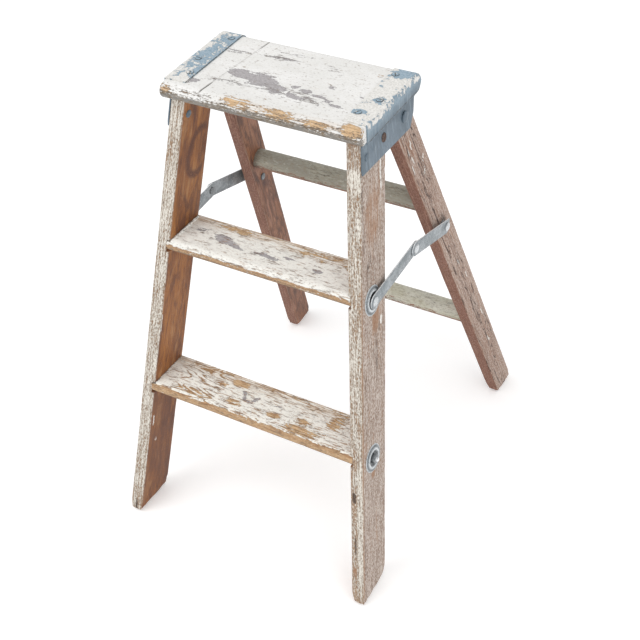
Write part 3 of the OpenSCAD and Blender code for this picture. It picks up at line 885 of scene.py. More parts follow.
def left_inner_marks(n, z, is_inner):
    """The left rail's inner face: a horseshoe growth ring, a V below it, dark back edge, drips."""
    ring = np.abs(blob(n, z, (43, 507), (24, 31)) - 0.08)
    rise = z - 436
    arms = 1 - np.minimum(np.abs(n - 30 - rise * 0.5), np.abs(n - 30 + rise * 0.3)) / 3.5
    core = np.clip(1 - np.abs(n - 34 - 3 * np.sin(z / 23)) / 7, 0, 1) * smooth(200, 170, z)
    knot = most(smooth(0.24, 0.07, ring) * smooth(59, 50, n),
                0.35 * spot(n, z, (46, 511), (17, 22)),
                np.clip(arms, 0, 1) * smooth(430, 437, z) * smooth(464, 452, z),
                smooth(54, 60, n) * 0.4,
                0.45 * spot(n, z, (50, 436), (12, 26), gain=1.5),
                0.5 * smooth(205, 180, z),
                core * 0.9)
    drips = most(spot(n, z, (7, 150), (2.5, 12)), spot(n, z, (16, 112), (2, 7)),
                 spot(n, z, (1, 300), (2.5, 22)))
    return knot * is_inner, drips * is_inner * 0.8


def worn_foot(block, z, seed, reach, depth):
    """Rounds and splinters the corners of a rail's foot."""
    corner = smooth(reach, 0, z) * smooth(9, 0, block.edge_distance())
    ragged = smooth(-0.3, 0.7, block.noise((8, 8, 8), seed))
    block.push(corner * depth * (0.35 + 0.65 * ragged))


def closed_sheet(grid, inward):
    """A sheet with thickness: a grid of outer points and the offset of each inner point."""
    inner = grid + inward
    rows, cols = grid.shape[:2]
    vertices = np.concatenate([grid.reshape(-1, 3), inner.reshape(-1, 3)])
    faces, back = [], rows * cols
    for i in range(rows - 1):
        for j in range(cols - 1):
            q = (i * cols + j, (i + 1) * cols + j, (i + 1) * cols + j + 1, i * cols + j + 1)
            faces.append(q)
            faces.append(tuple(back + k for k in reversed(q)))
    rim = ([i * cols for i in range(rows)] + [(rows - 1) * cols + j for j in range(1, cols)]
           + [i * cols + cols - 1 for i in range(rows - 2, -1, -1)] + list(range(cols - 2, 0, -1)))
    for k, here in enumerate(rim):
        there = rim[(k + 1) % len(rim)]
        faces.append((there, here, here + back, there + back))
    return vertices, faces


def plate_low(y):
    """Bottom edge of a bracket's side plate."""
    corners_y = np.array([145.0, 149.5, 266.0, 277.0, 282.0]) + FEET_FRONT
    return np.interp(y, corners_y, [560.5, 554.5, 546.5, 561.0, 577.0])


def bracket_section(y):
    """One row of a bracket: outer points and inward offsets from the strap down to the plate."""
    t, corner_r = SHEET, 2.4
    over = min(max((y - NOSE_Y) / BAND_R, 0.0), 1.0)
    up = math.sqrt(max(1 - over * over, 0))
    top = HEIGHT - BOARD_T / 2 + BAND_R * up
    bottom = HEIGHT - BOARD_T / 2 - BAND_R * up
    outer_x = BOARD_HALF + t
    points = [(x, y, top) for x in np.linspace(BOARD_HALF - STRAP_W, outer_x - corner_r, 14)]
    inward = [(0, -t * over, -t * up)] * 14
    bend = min(corner_r, (top - bottom) / 2)
    for angle in np.radians([22, 45, 68, 90]):
        x = outer_x - corner_r + corner_r * math.sin(angle)
        points.append((x, y, top - bend + bend * math.cos(angle)))
        inward.append((-t * math.sin(angle), 0, -t * math.cos(angle)))
    for share in np.linspace(0, 1, 13)[1:]:
        points.append((outer_x, y, top - bend + share * (bottom - top + bend)))
        inward.append((-t, 0, 0))
    if y > PLATE_BACK + 0.005:
        return points + [points[-1]] * 21, inward + [inward[-1]] * 21
    x_plate = front_half(front_nv(y, LEDGE_Z)[1]) + t
    for share in (0.25, 0.5, 0.75, 1.0):
        points.append((outer_x - 0.5 + share * (x_plate + 0.4 - outer_x + 0.5), y, LEDGE_Z))
        inward.append((0, 0, t))
    tilt = math.atan(FRONT_K)
    along = (y - BAND_FRONT) / (PLATE_BACK - BAND_FRONT)
    for share in np.linspace(0, 1, 18)[1:]:
        z = LEDGE_Z - 0.4 + share * (plate_low(y) - LEDGE_Z + 0.4)
        edge = max(145.0, 152.6 - (HEIGHT - 20 - z) * 7.6 / 29.5) + FEET_FRONT
        edge = max(edge, front_edge_y(z) + 0.3)
        y_here = edge + (PLATE_BACK - edge) * along
        z = min(z, LEDGE_Z - 0.4)
        points.append((front_half(front_nv(y_here, z)[1]) + t, y_here, z))
        inward.append((-t * math.cos(tilt), 0, -t * math.sin(tilt)))
    return points, inward


def bracket_marks(side, x, y, z, strap):
    """Where white paint covers a bracket, and its dark seams."""
    edge_top = np.exp(-((z - (HEIGHT + 0.5)) / 3.0) ** 2) * smooth(BOARD_HALF - 3, BOARD_HALF, x)
    drips = smooth(HEIGHT - 14, HEIGHT - 2, z) * smooth(BOARD_HALF - 2, BOARD_HALF, x)
    if side > 0:
        blue = most(spot(x, y, (116, 268), (19, 17), gain=1.6), spot(x, y, (117, 207), (8, 11), gain=1.8),
                    spot(x, y, (108, 177), (11, 6), 20, 1.8))
        white = strap * (0.75 - 0.55 * blue)
        drips *= 0.5
    else:
        white = strap * (0.42 + 0.25 * smooth(116, 128, x) + 0.3 * smooth(168, 158, y))
        drips *= 0.3
    white = most(white, edge_top * 0.55, drips) + (1 - strap) * 0.02
    strap_edge = BOARD_HALF - STRAP_W
    seam = strap * smooth(strap_edge + 1.8, strap_edge + 0.3, x) * (0.62 if side < 0 else 0.35)
    return white, seam


def slotted_head(r, h, shank_depth):
    """A domed screw head with a cut slot, and which of its vertices lie in shadow."""
    profile = [(0, h)]
    for k in range(1, 15):
        t = math.radians(90) * k / 14
        profile.append((r * math.sin(t), 0.3 + (h - 0.3) * math.cos(t)))
    profile += [(r * 0.98, 0), (r * 0.4, 0), (r * 0.4, -shank_depth), (0, -shank_depth)]
    v, f = lathe(profile, 64)
    in_slot = (np.abs(v[:, 0] + 0.35 * v[:, 1]) < r * 0.15) & (v[:, 2] > 0.2)
    v[in_slot, 2] = np.maximum(v[in_slot, 2] - h * 0.5, 0.1)
    rim = np.hypot(v[:, 0], v[:, 1]) > r * 0.9
    return (v, f), (in_slot | rim).astype(float)


def make_washers(rod, name):
    """A pair of dished washers, with painted shade in their grooves and painted highlights on their crest and rim.
    """
    dish = [(4, 0.8), (8.2, 0.8), (9.2, 1.1), (10.4, 1.9), (11.6, 2.3), (12.8, 2.3), (13.8, 1.9), (15.0, 1.0),
            (16.0, 0.75), (17.0, 0.8), (18.0, 0.85), (18.5, 0.5), (18.3, 0.05), (16, 0), (13.5, 0.9),
            (10.5, 0.9), (8.5, 0), (4, 0)]
    v, f = lathe(dish, 72)
    r = np.hypot(v[:, 0], v[:, 1])
    # Painted shade in the inner recess and the outer groove; painted highlights on the crest and the rim.
    shade = smooth(11.2, 9.9, r) + np.exp(-((r - 15.4) / 1.1) ** 2) * 0.8
    bright = np.exp(-((r - 12.2) / 1.3) ** 2) * 0.7 + smooth(17.2, 18.2, r) * 0.5
    sides = both_sides(placed((v, f), on_front_face(rod, 0.05)))
    make_heads(f"{name}_dished_washers", "front_frame", "galvanised", sides, [f"{name}_rod_washers"],
               bright=np.tile(bright, 2), shade=np.tile(shade, 2))


def rounded_square(half, cut):
    """Corner points of a square with its corners cut off, anticlockwise."""
    points = []
    for sx, sy in ((1, -1), (1, 1), (-1, 1), (-1, -1)):
        along_y = (half * sx, half * sy - sy * cut)
        along_x_side = (half * sx - sx * cut, half * sy)
        points += [along_x_side, along_y] if sx * sy < 0 else [along_y, along_x_side]
    return np.array(points)


def make_paint_bead():
    """The ridge of thick paint where the upper tread meets the left rail."""
    top = TREAD_TOPS["upper"]
    front, back = front_edge_y(top) + 5, front_edge_y(top) + 57
    count, around = 60, 10
    vertices, grain = [], []
    for i, y in enumerate(np.linspace(front, back, count)):
        x = -(front_half(front_nv(y, top)[1]) - FRONT_T) + 3.0
        swell = noise(np.array([[y, 0.0, 0.0]]), (6, 6, 6), 77, 2)[0]
        r = max(0.25, 1.3 + 0.9 * swell) * min(1.0, i / 3 + 0.3, (count - 1 - i) / 3 + 0.3)
        for k in range(around):
            t = 2 * math.pi * k / around
            vertices.append((x + r * 1.2 * math.cos(t), y, top + 0.2 + r * math.sin(t)))
            grain.append((y, r * math.cos(t) + 9, r * math.sin(t)))
    faces = []
    for here in range(0, (count - 1) * around, around):
        for k in range(around):
            n = (k + 1) % around
            faces.append((here + k, here + around + k, here + around + n, here + n))
    faces += [tuple(range(around)), tuple((count - 1) * around + k for k in reversed(range(around)))]
    vertices = np.array(vertices)
    obj = new_object("left_paint_bead", vertices, outward(vertices, faces))
    # The bead gets half the painted light lift of the paint, and some grime and painted shade.
    add_fields(obj, grain, loss=0.2, bare=0.15, grime=0.3, cream=0.5)
    dress(obj, "front_frame", "white_paint")


def finish_rail(block, which, side, offset, **fields):
    node = f"{which}_rail_{sides(side)}"
    dress(block.build(f"{node}_wood", offset, **fields), f"{which}_frame", f"{which}_wood", node)


def front_rail_block(side, seed):
    """A front rail's worn shape with its tread slots, leaning back and narrowing upward."""
    length = BOARD_UNDER / math.cos(FRONT_LEAN)
    slots = [z for top in TREAD_TOPS.values() for z in (top - TREAD_T, top)]
    lines = [length * (z + d) / BOARD_UNDER for z in slots for d in (-0.05, 0.05)]
    block = Block((length, FRONT_W, FRONT_T), 2.6, (1.6, 1.6), (4.5, 1.0), extra_a=lines)
    z_flat = block.flat[:, 0] / length * BOARD_UNDER
    for top in TREAD_TOPS.values():
        cut = (z_flat > top - TREAD_T) & (z_flat < top)
        block.local[cut, 2] = np.minimum(block.local[cut, 2], FRONT_T - DADO)

    def to_world(p):
        v_foot = p[:, 1] * math.tan(FRONT_LEAN)
        v_top = (BOARD_UNDER + p[:, 1] * math.sin(FRONT_LEAN)) / math.cos(FRONT_LEAN)
        v = v_foot + (v_top - v_foot) * p[:, 0] / length
        y, z = front_point(p[:, 1], v)
        return np.stack([side * (front_half(v) - p[:, 2]), y, z], 1)

    block.place(to_world)
    z = block.world[:, 2].copy()
    wear(block, seed, edge=3.0, chip=1.3, dent=0.3)
    worn_foot(block, z, seed + 7, 20, 6.5)
    block.world[:, 2] = np.clip(block.world[:, 2], 0.0, BOARD_UNDER)
    return block, z


def make_front_rail(side):
    """A front rail with its paint, rust, knots, drips, grime and painted shade in its tread slots."""
    seed = 31 if side > 0 else 57
    block, z = front_rail_block(side, seed)
    n, c = block.flat[:, 1], block.flat[:, 2]
    is_front, is_inner = face_fields(block, FRONT_T)
    in_slot = c > FRONT_T - DADO - 1
    slot_wall = most(*[(z > top - TREAD_T - 1) & (z < top + 1) & in_slot for top in TREAD_TOPS.values()])
    paint = 0.52 + 0.14 * block.noise((60, 30, 30), seed + 4)
    paint -= 0.35 * smooth(60, 12, z)
    outer = smooth(1.5, 0, c)
    rust = -0.3 + 0.6 * outer * smooth(7, 1, n) + 0.4 * smooth(50, 8, z)
    for (y_rod, z_rod), back, down, radii in ((UPPER_ROD, 10, 24, (14, 34)), (LOWER_ROD, 2, 22, (7, 10))):
        n_rod = front_nv(y_rod, z_rod)[0]
        rust = most(rust, spot(n, z, (n_rod + back, z_rod - down), radii, gain=1.5) * outer)
    rust = most(rust, (spot(n, z, (28, 498), (42, 78), gain=1.4) * 0.95 - 0.3) * outer)
    knot = 0.0
    # Painted shade on the walls of the tread slots.
    grime = 0.25 * slot_wall
    cracked = outer * smooth(0.0, 0.6, block.noise((90, 14, 14), seed + 5)) * 0.6
    if side < 0:
        knot, drips = left_inner_marks(n, z, is_inner)
        paint += 0.1
        foot_split = np.clip(1.6 - np.abs(c - 10) / 1.6, 0, 1.2) * smooth(32, 14, z)
        grime = most(grime, foot_split * is_front, spot(c, z, (5, 460), (1.4, 7)) * is_front)
    else:
        paint -= 0.33 * smooth(554, 562, z)
        paint += (0.3 * smooth(9, 6, c) - 0.15 * smooth(9, 12, c)) * smooth(260, 180, z) * is_front
        paint += 0.8 * spot(c, z, (7, 545), (9, 15)) * is_front
        corner = smooth(2.4, 0.8, c) * smooth(2.6, 1.0, n) * smooth(470, 400, z)
        rust = most(rust, 0.15 * smooth(554, 562, z) * is_front,
                    corner * (0.75 + 0.3 * block.noise((40, 20, 20), seed + 9, 1)),
                    spot(c, z, (13, 50), (3.5, 11), top=1.1) * is_front,
                    0.55 * smooth(20, 4, z) * is_front)
        streak = np.clip(1 - np.abs(n - 48 - 2 * np.sin(z / 15)) / 3.0, 0, 1) * smooth(508, 520, z)
        drips = outer * most(streak, spot(n, z, (47, 362), (2.5, 10)))
        grime = most(grime, spot(c, z, (13, 156), (2.8, 10), gain=4, top=1.3) * is_front,
                     spot(c, z, (12, 88), (2.0, 17), gain=2.5) * is_front,
                     spot(n, z, (28, 26), (7, 3), 40) * 0.5 * outer)
    finish_rail(block, "front", side, 500.0 + 900.0 * (side > 0), is_front=is_front, is_inner=is_inner,
                paint=paint, rust=rust, knot=knot, drips=drips, cracked=cracked, grime=grime)


def make_rear_rail(side):
    """A rear rail: worn foot, head rounded about the hinge pin."""
    length = HINGE_UP + REAR_W / 2
    block = Block((length, REAR_W, REAR_T), 2.4, (1.6, 1.6), (4.0, 1.0))

    def to_world(p):
        n = p[:, 1]
        v_foot = -n * math.tan(REAR_LEAN)
        v_top = HINGE_UP + np.sqrt(np.maximum((REAR_W / 2) ** 2 - (n - REAR_W / 2) ** 2, 0))
        v = v_foot + (v_top - v_foot) * p[:, 0] / length
        y, z = rear_point(n, v)
        return np.stack([side * (rear_half(v) - p[:, 2]), y, z], 1)

    block.place(to_world)
    n, c, z = block.flat[:, 1], block.flat[:, 2], block.world[:, 2].copy()
    seed = 83 if side > 0 else 101
    wear(block, seed, edge=2.5, chip=0.9, dent=0.25)
    worn_foot(block, z, seed + 7, 20, 3.6)
    block.world[:, 2] = np.clip(block.world[:, 2], 0.0, BOARD_UNDER - 2)

    is_front, is_inner = face_fields(block, REAR_T)
    outer = smooth(1.5, 0, c)
    paint = 0.5 + 0.3 * block.noise((60, 30, 30), seed + 4)
    cracked = outer * smooth(-0.35, 0.2, block.noise((140, 12, 12), seed + 5))
    rust = outer * (0.2 + 0.6 * spot(n, z, (14, 520), (16, 40), gain=1)) - 0.1
    rust += 0.3 * outer * smooth(10, 2, n)
    knot = is_inner * most(spot(n, z, (20, 362), (7, 16), gain=1), spot(n, z, (17, 90), (6, 18), gain=1))
    drips = 0.0
    if side > 0:
        for cn, cz, tilt in ((9, 515, 10), (17, 522, -12), (30, 492, -30), (25, 474, -28), (12, 500, 4),
                             (6, 488, 0), (22, 300, 5), (28, 268, -6), (30, 180, 0), (24, 120, 8)):
            drips = most(drips, outer * spot(n, z, (cn, cz), (2.0, 11), tilt))
    finish_rail(block, "rear", side, 2500.0 + 700.0 * (side > 0), is_front=is_front, is_inner=is_inner,
                paint=paint, rust=rust, knot=knot, drips=drips * 0.8, cracked=cracked, grime=0.0)


def make_rung(which, tint, seed):
    """A round rung between the rear rails."""
    low, high = box_mm(f"{which}_rung")
    length = high[0] - low[0]
    centre_y, centre_z = (low[1] + high[1]) / 2, (low[2] + high[2]) / 2
    size = 2 * RUNG_R - 0.2
    block = Block((length, size, size), 3.0, (size / 2, size / 2), (0.8, 0.8))

    block.place(lambda p: p + (-length / 2, centre_y - size / 2, centre_z - size / 2))
    block.push(0.25 * smooth(0.1, 0.8, block.noise((40, 12, 12), seed))
               + 0.12 * (block.noise((90, 20, 20), seed + 1, 1) + 1))
    behind, above = block.world[:, 1] - centre_y, block.world[:, 2] - centre_z
    up = above / RUNG_R * 0.5 - behind / RUNG_R * 0.1 + 0.52
    reach = length / 2 - np.abs(block.world[:, 0])
    # Darker near both ends, where the rung enters the rails.
    grime = smooth(22, 9, reach)
    rung = block.build(f"{which}_rung_dowel", 4200.0 + seed, up=up, grime=grime * 0.8, tint=tint)
    dress(rung, "rear_frame", "rung_wood", f"{which}_rung")


# ---------------------------------------------------------------- steel pieces
def make_bracket(side):
    """A pressed bracket in one sheet: strap over the board, band round its end, side plate."""
    name = sides(side)
    rows = np.unique(np.concatenate([
        np.linspace(BAND_FRONT, PLATE_BACK, 76), [PLATE_BACK + 0.02], np.linspace(PLATE_BACK + 1, NOSE_Y, 6),
        NOSE_Y + BAND_R * np.sin(np.radians(np.linspace(8, 89, 12)))]))
    outer, inward = (np.array(part, float) for part in zip(*[bracket_section(y) for y in rows]))
    vertices, faces = closed_sheet(outer, inward)
    vertices, faces = merged(vertices, faces, [])[:2]
    faces = outward(vertices, faces)
    x, y, z = vertices[:, 0], vertices[:, 1] - FEET_FRONT, vertices[:, 2]
    wrinkle = 0.5 * noise(vertices, (40, 14, 30), 211 + side, 2)
    wrinkle += 0.35 * noise(vertices, (12, 6, 14), 223 + side, 2)
    on_band = smooth(BOARD_HALF - 1, BOARD_HALF + 1, x) * smooth(LEDGE_Z, LEDGE_Z + 5, z)
    on_top = smooth(HEIGHT - 1, HEIGHT + 0.5, z)
    creases = sum(np.exp(-((y - at) / wide) ** 2)
                  for at, wide in ((213, 1.5), (176, 1.6), (168, 1.3), (243, 2.2)))
    vertices[:, 0] -= np.clip((wrinkle + 0.7 * creases) * on_band, 0, 1.4)
    vertices[:, 2] -= np.clip(wrinkle, 0, 1) * 0.8 * on_top
    plate = smooth(LEDGE_Z, LEDGE_Z - 1, z)
    bump = np.exp(-(((y - 176) / 4.5) ** 2 + ((z - 571) / 4.5) ** 2)) * plate
    vertices[:, 0] += 0.9 * bump
    strap = smooth(HEIGHT - 1, HEIGHT + 0.4, z) * smooth(BOARD_HALF + 1.5, BOARD_HALF - 0.5, x)
    white, seam = bracket_marks(side, x, y, z, strap)
    jog = smooth(BOARD_HALF - 1, BOARD_HALF + 1, x) * np.exp(-((z - LEDGE_Z - 2) / 1.8) ** 2)
    seam = np.maximum(seam, 0.62 * jog)
    rust = spot(y, z, (165, 560), (10, 9), gain=1) * 0.35
    if side < 0:
        vertices, faces = mirrored((vertices, faces))
    obj = new_object(f"bracket_{name}_steel", vertices, faces, 50.0)
    pale = np.maximum(strap, on_band * (0.1 + 0.55 * smooth(HEIGHT - 20, HEIGHT - 4, z)))
    add_fields(obj, strap=pale, white=white, rust=rust, seam=seam)
    dress(obj, "front_frame", "blue_paint", f"bracket_{name}")


def make_heads(name, body, slot, parts, nodes, **fields):
    vertices, faces = joined(parts)
    obj = new_object(name, vertices, faces)
    add_fields(obj, **fields)
    dress(obj, body, slot, *nodes)


def make_bracket_fasteners():
    """Strap screws, bracket rivets and screws, and the hinge pins."""
    screws, seams = [], []
    for x, y, turn in ((108, 263, 10), (117.5, 207, 75), (107.5, 175, 130)):
        # Each head's slot and rim carry painted shadow, passed on as the seam field.
        head, dark = slotted_head(4.5, 1.4, 14)
        turned = Matrix.Rotation(math.radians(turn), 4, "Z")
        place = Matrix.Translation((x, y + FEET_FRONT, HEIGHT + SHEET - 0.2)) @ turned
        screws += both_sides(placed(head, place))
        seams += [dark, dark]
    make_heads("strap_screws", "front_frame", "blue_paint", screws, ["top_screws"], strap=1.0, white=0.3,
               rust=0.2, seam=np.concatenate(seams))

    point = (159 + FEET_FRONT, 569)
    outer = placed(lathe(dome_profile(5, 1.6, shank=2.5, depth=16)), on_front_face(point, SHEET - 0.1))
    through = on_front_face(point, -FRONT_T * math.cos(math.atan(FRONT_K)))
    inner = placed(lathe(dome_profile(4.8, 1.4)), through @ Matrix.Rotation(math.pi, 4, "X"))
    make_heads("bracket_rivet_heads", "front_frame", "blue_paint", both_sides(outer) + both_sides(inner),
               ["bracket_rivets"], strap=0.0, white=0.05, rust=0.1, seam=0.0)

    point = (200.5 + FEET_FRONT, 570)
    screw = placed(slotted_head(5.5, 1.8, 14)[0], on_front_face(point, SHEET - 0.1) @ Matrix.Rotation(0.9, 4, "Z"))
    make_heads("bracket_screw_heads", "front_frame", "rusty_steel", both_sides(screw), ["bracket_screws"])

    plate_x = front_half(front_nv(*HINGE)[1]) + SHEET
    inner_x = rear_half(HINGE_UP) - REAR_T
    head = placed(lathe(dome_profile(7, 2.6, foot=1.2, shank=4, depth=plate_x - inner_x + 2)),
                  along_x(HINGE, plate_x + 0.1))
    tail = placed(lathe(dome_profile(7, 2, foot=0.6)), along_x(HINGE, inner_x - 1.2, inward=True))
    make_heads("hinge_pin_rivets", "front_frame", "blue_paint", both_sides(head) + both_sides(tail),
               ["hinge_pins"], strap=0.0, white=0.05, rust=0.15, seam=0.0)


def bar_outline(width, length, past, square_end):
    """Outline of a link along +u from its first pivot, round there; points run anticlockwise."""
    r = width / 2
    points = [(r * math.cos(t), r * math.sin(t)) for t in np.radians(np.linspace(90, 270, 25))]
    if square_end:
        cut = 3.0
        points += [(length + past - cut, -r), (length + past, -r + cut), (length + past, r - cut * 0.6),
                   (length + past - cut * 0.6, r)]
    else:
        points += [(length + r * math.cos(t), r * math.sin(t)) for t in np.radians(np.linspace(-90, 90, 25))]
    return np.array(points)


def flat_bar(outline, thickness, bevel=0.35):
    """A plate with its edges eased; its face is (u, w) and its thickness runs from 0 up."""
    count = len(outline)
    away = outline - np.roll(outline, 1, 0)
    ahead = np.roll(outline, -1, 0) - outline
    tangent = sum(d / np.linalg.norm(d, axis=1, keepdims=True) for d in (away, ahead))
    tangent /= np.linalg.norm(tangent, axis=1, keepdims=True)
    inward = np.stack([-tangent[:, 1], tangent[:, 0]], 1)
    rings = []
    for inset, height in ((bevel, 0.0), (bevel * 0.3, bevel * 0.3), (0, bevel), (0, thickness - bevel),
                          (bevel * 0.3, thickness - bevel * 0.3), (bevel, thickness)):
        rings.append(np.column_stack([outline + inward * inset, np.full(count, height)]))
    vertices = np.concatenate(rings)
    faces = []
    for k in range(len(rings) - 1):
        for i in range(count):
            j = (i + 1) % count
            faces.append((k * count + i, k * count + j, (k + 1) * count + j, (k + 1) * count + i))
    faces.append(tuple(reversed(range(count))))
    top = (len(rings) - 1) * count
    faces.append(tuple(top + i for i in range(count)))
    return vertices, outward(vertices, faces)


def rubbed_edge(obj, thickness, bevel=0.35):
    """Marks a plate's eased edges for a painted highlight; its thickness runs along local x."""
    x = np.array([v.co.x for v in obj.data.vertices]) / MM
    off_middle = np.abs(x - (x.min() + x.max()) / 2)
    rim = off_middle < thickness / 2 - bevel + 0.03
    # The eased edges get a full painted highlight and no painted shade.
    add_fields(obj, bright=rim.astype(float), shade=0.0)


def link_frame(start, end, x):
    """Takes (u, w, thickness) to a link from start to end in the plane x."""
    run = np.array(end) - np.array(start)
    u = Vector((0, run[0], run[1])).normalized()
    w = Vector((0, -u.z, u.y))
    out = Vector((1, 0, 0))
    m = Matrix((u, w, out)).transposed().to_4x4()
    return Matrix.Translation((x, *start)) @ m, float(np.linalg.norm(run))


def make_spreaders():
    """The four links and their rivets, one set on each side."""
    for side, name in ((1, "right"), (-1, "left")):
        def piece(part, label, body, node, shade=0.0, bright=0.6):
            part = part if side > 0 else mirrored(part)
            obj = new_object(f"{label}_{name}_steel", *part, 30.0)
            if node.endswith("link"):
                rubbed_edge(obj, LINK_T)
            else:
                add_fields(obj, bright=bright, shade=shade)
            dress(obj, f"{name}_{body}", "galvanised", f"{node}_{name}")

        for link, end, x, past in (("front_link", UPPER_ROD, FRONT_LINK_X, 0.0),
                                   ("rear_link", LINK_REAR, REAR_LINK_X, 6.0)):
            place, run = link_frame(LINK_MID, end, x)
            bar = flat_bar(bar_outline(LINK_W, run, past, past > 0), LINK_T)
            piece(placed(bar, place), link, link, link)
        # Rivet domes carry a painted highlight with painted shade round their foot; the link tail is darkened all
        # over with painted shade.
        head = lathe(dome_profile(6, 2.2, shank=3, depth=LINK_T - 0.1))
        piece(placed(head, along_x(LINK_MID, REAR_LINK_X + LINK_T)), "mid_rivet", "rear_link", "mid_rivet",
              rim_shade(head))
        tail = lathe(dome_profile(5, 1.4))
        piece(placed(tail, along_x(LINK_MID, FRONT_LINK_X, inward=True)), "link_tail", "front_link",
              "link_tail", np.maximum(rim_shade(tail), 0.6), 0.0)


def make_rear_rivets():
    """The rivets that hold the rear links, through the rear rails."""
    inner = rear_half(LINK_REAR_V) - REAR_T
    outer = REAR_LINK_X + LINK_T + 0.2
    head = lathe(dome_profile(6, 2.2, shank=3, depth=outer - inner))
    tail = lathe(dome_profile(5, 1.4, foot=0.5))
    # Painted shade round the heads' foot and over the tails; a painted highlight on the heads.
    shade = np.concatenate([np.tile(rim_shade(head), 2), np.tile(np.maximum(rim_shade(tail), 0.6), 2)])
    bright = np.repeat([0.6, 0.0], [2 * len(head[0]), 2 * len(tail[0])])
    heads = both_sides(placed(head, along_x(LINK_REAR, outer)))
    tails = both_sides(placed(tail, along_x(LINK_REAR, inner - 0.6, inward=True)))
    make_heads("spreader_rivet_heads", "rear_frame", "galvanised", heads + tails, ["spreader_rivets"],
               bright=bright, shade=shade)


def make_rod(which, point, half, turns, bright):
    """A truss rod from the profile of its right half."""
    profile = half + [(r, -h) for r, h in reversed(half)]
    rod = placed(lathe(profile, turns), along_x(point, 0))
    make_heads(f"{which}_rod_bar", "front_frame", "galvanised", [rod], [f"{which}_truss_rod"],
               bright=bright, shade=0.0)


def make_rods():
    """Truss rods, their dished washers and the nuts on the lower one."""
    for rod, name in ((UPPER_ROD, "upper"), (LOWER_ROD, "lower")):
        make_washers(rod, name)
    face = front_half(front_nv(*LOWER_ROD)[1]) + 0.8
    end = face + 4 + 2.5
    half = [(0, end + 1), (1.6, end + 0.8), (2.8, end - 0.1)]
    # The rod ends carry a painted highlight, full on the lower rod and 0.6 on the upper.
    make_rod("lower", LOWER_ROD, half, 24, 1.0)
    head = FRONT_LINK_X + LINK_T + 0.25
    collar = front_half(front_nv(*UPPER_ROD)[1]) + 1.5
    half = [(0, head + 2.4), (2.5, head + 2.2), (4.6, head + 1.4), (5.8, head + 0.5), (5.9, head), (3, head),
            (3, FRONT_LINK_X - 0.3), (5.5, FRONT_LINK_X - 0.3), (5.5, collar), (3, collar)]
    make_rod("upper", UPPER_ROD, half, 32, 0.6)
    nut = flat_bar(rounded_square(5.0, 1.2), 4.6, 0.5)
    turn = Matrix.Rotation(math.radians(20), 4, "Z")
    # The nuts are darkened with painted shade and carry a faint painted highlight.
    make_heads("lower_square_nuts", "front_frame", "galvanised",
               both_sides(placed(nut, along_x(LOWER_ROD, face - 0.4) @ turn)), ["lower_rod_nuts"],
               bright=0.1, shade=0.55)


# ---------------------------------------------------------------- build the ladder
make_top_board()
make_tread("upper", 3,
           [((-62, 33), (25, 9), -14, 0.95), ((-44, 27), (18, 6), -8, 0.8), ((0, 26), (26, 7), -4, 0.75),
            ((70, 26), (10, 6), 0, 0.9), ((28, 33), (18, 4), 0, 0.6), ((-98, 40), (12, 10), 0, 0.5)],
           [((52, 50), (44, 11), 0, 0.45), ((-60, 56), (36, 8), 0, 0.4), ((-30, 44), (14, 4), 0, 0.4),
            ((100, 45), (20, 12), 0, 0.35)], 0.27, 0.15)
make_tread("lower", 4,
           [((-26, 36), (4, 14), 30, 0.8), ((-8, 34), (4, 14), -35, 0.8), ((-16, 27), (12, 3), 0, 0.7),
            ((24, 36), (16, 3), 20, 0.6)],
           [((-40, 50), (18, 8), 0, 0.7), ((-62, 40), (10, 6), 0, 0.5), ((-30, 18), (18, 7), 0, 0.55),
            ((26, 20), (14, 6), 0, 0.6), ((66, 26), (14, 8), 0, 0.55), ((70, 12), (44, 10), 0, 0.55),
            ((104, 40), (14, 16), 0, 0.55), ((-90, 12), (40, 8), 0, 0.45)], 0.72, 0.75)
for side in (-1, 1):
    make_front_rail(side)
    make_rear_rail(side)
    make_bracket(side)
make_rung("upper", 0.0, 11)
make_rung("lower", 1.0, 23)
make_bracket_fasteners()
make_spreaders()
make_rear_rivets()
make_rods()
make_paint_bead()

# These small CAD pieces keep their own shape and get a finish
for node, slot in (("hinge_washers", "galvanised"), ("spreader_spacers", "galvanised"),
                   ("tread_nails", "rusty_steel"), ("rung_nails", "rusty_steel")):
    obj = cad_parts[node]
    obj.data.materials.clear()
    obj.data.materials.append(MATERIALS[slot])


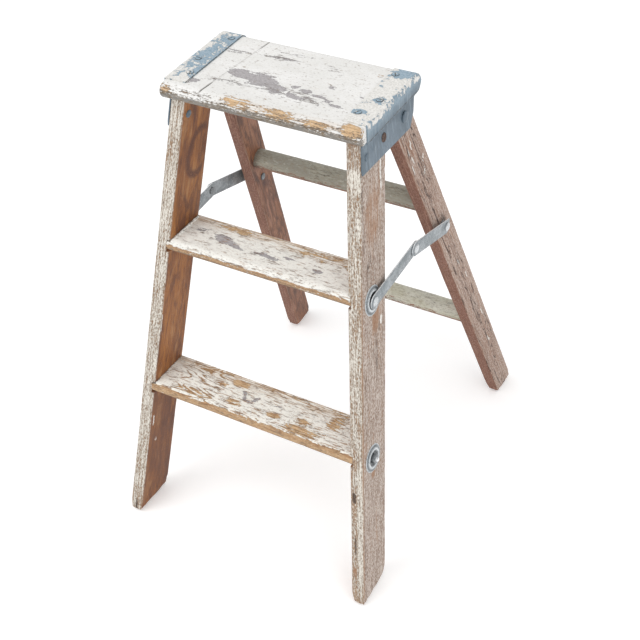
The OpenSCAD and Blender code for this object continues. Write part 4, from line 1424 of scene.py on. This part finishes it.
# ---------------------------------------------------------------- floor, light and camera
def make_floor():
    size = 6.0
    mesh = bpy.data.meshes.new("floor")
    corners = [(-size, -size, 0), (size, -size, 0), (size, size, 0), (-size, size, 0)]
    mesh.from_pydata(corners, [], [(0, 1, 2, 3)])
    floor = bpy.data.objects.new("floor", mesh)
    bpy.context.scene.collection.objects.link(floor)
    pale = Shader("pale_floor", Roughness=0.9, Specular_IOR_Level=0.1, Base_Color=(0.93, 0.93, 0.93, 1),
                  Emission_Color=(1, 1, 1, 1), Emission_Strength=0.22)
    mesh.materials.append(pale.material)
    floor.location.z = -0.0005


def make_light(name, power, size, place, aim=(0, 0, 0.3)):
    light = bpy.data.lights.new(name, "AREA")
    light.energy = power
    light.size = size
    obj = bpy.data.objects.new(name, light)
    obj.location = place
    obj.rotation_mode = "QUATERNION"
    obj.rotation_quaternion = (Vector(aim) - Vector(place)).to_track_quat("-Z", "Y")
    bpy.context.scene.collection.objects.link(obj)


CAMERA_AT = (0.6414, -1.0240, 1.2638)
CAMERA_AZIMUTH, CAMERA_ELEVATION, CAMERA_ROLL = 32.08, 40.56, -4.28
CAMERA_LENS = 66.66


def make_camera():
    """A camera at the photograph's viewing angle."""
    data = bpy.data.cameras.new("camera")
    data.sensor_width = 36
    data.lens = CAMERA_LENS
    camera = bpy.data.objects.new("camera", data)
    camera.matrix_world = Matrix.Translation(CAMERA_AT)
    for angle, axis in ((CAMERA_AZIMUTH, "Z"), (90 - CAMERA_ELEVATION, "X"), (CAMERA_ROLL, "Z")):
        camera.matrix_world = camera.matrix_world @ Matrix.Rotation(math.radians(angle), 4, axis)
    bpy.context.scene.collection.objects.link(camera)
    bpy.context.scene.camera = camera


world = bpy.data.worlds.new("studio")
world.use_nodes = True
background = world.node_tree.nodes["Background"]
background.inputs["Color"].default_value = (1, 1, 1, 1)
background.inputs["Strength"].default_value = 0.8
bpy.context.scene.world = world
bpy.context.scene.view_settings.view_transform = "Standard"
make_floor()
make_light("key", 20, 1.6, (-0.9, -1.2, 2.4))
make_light("fill", 12, 2.0, (1.8, -0.8, 1.6))
make_camera()
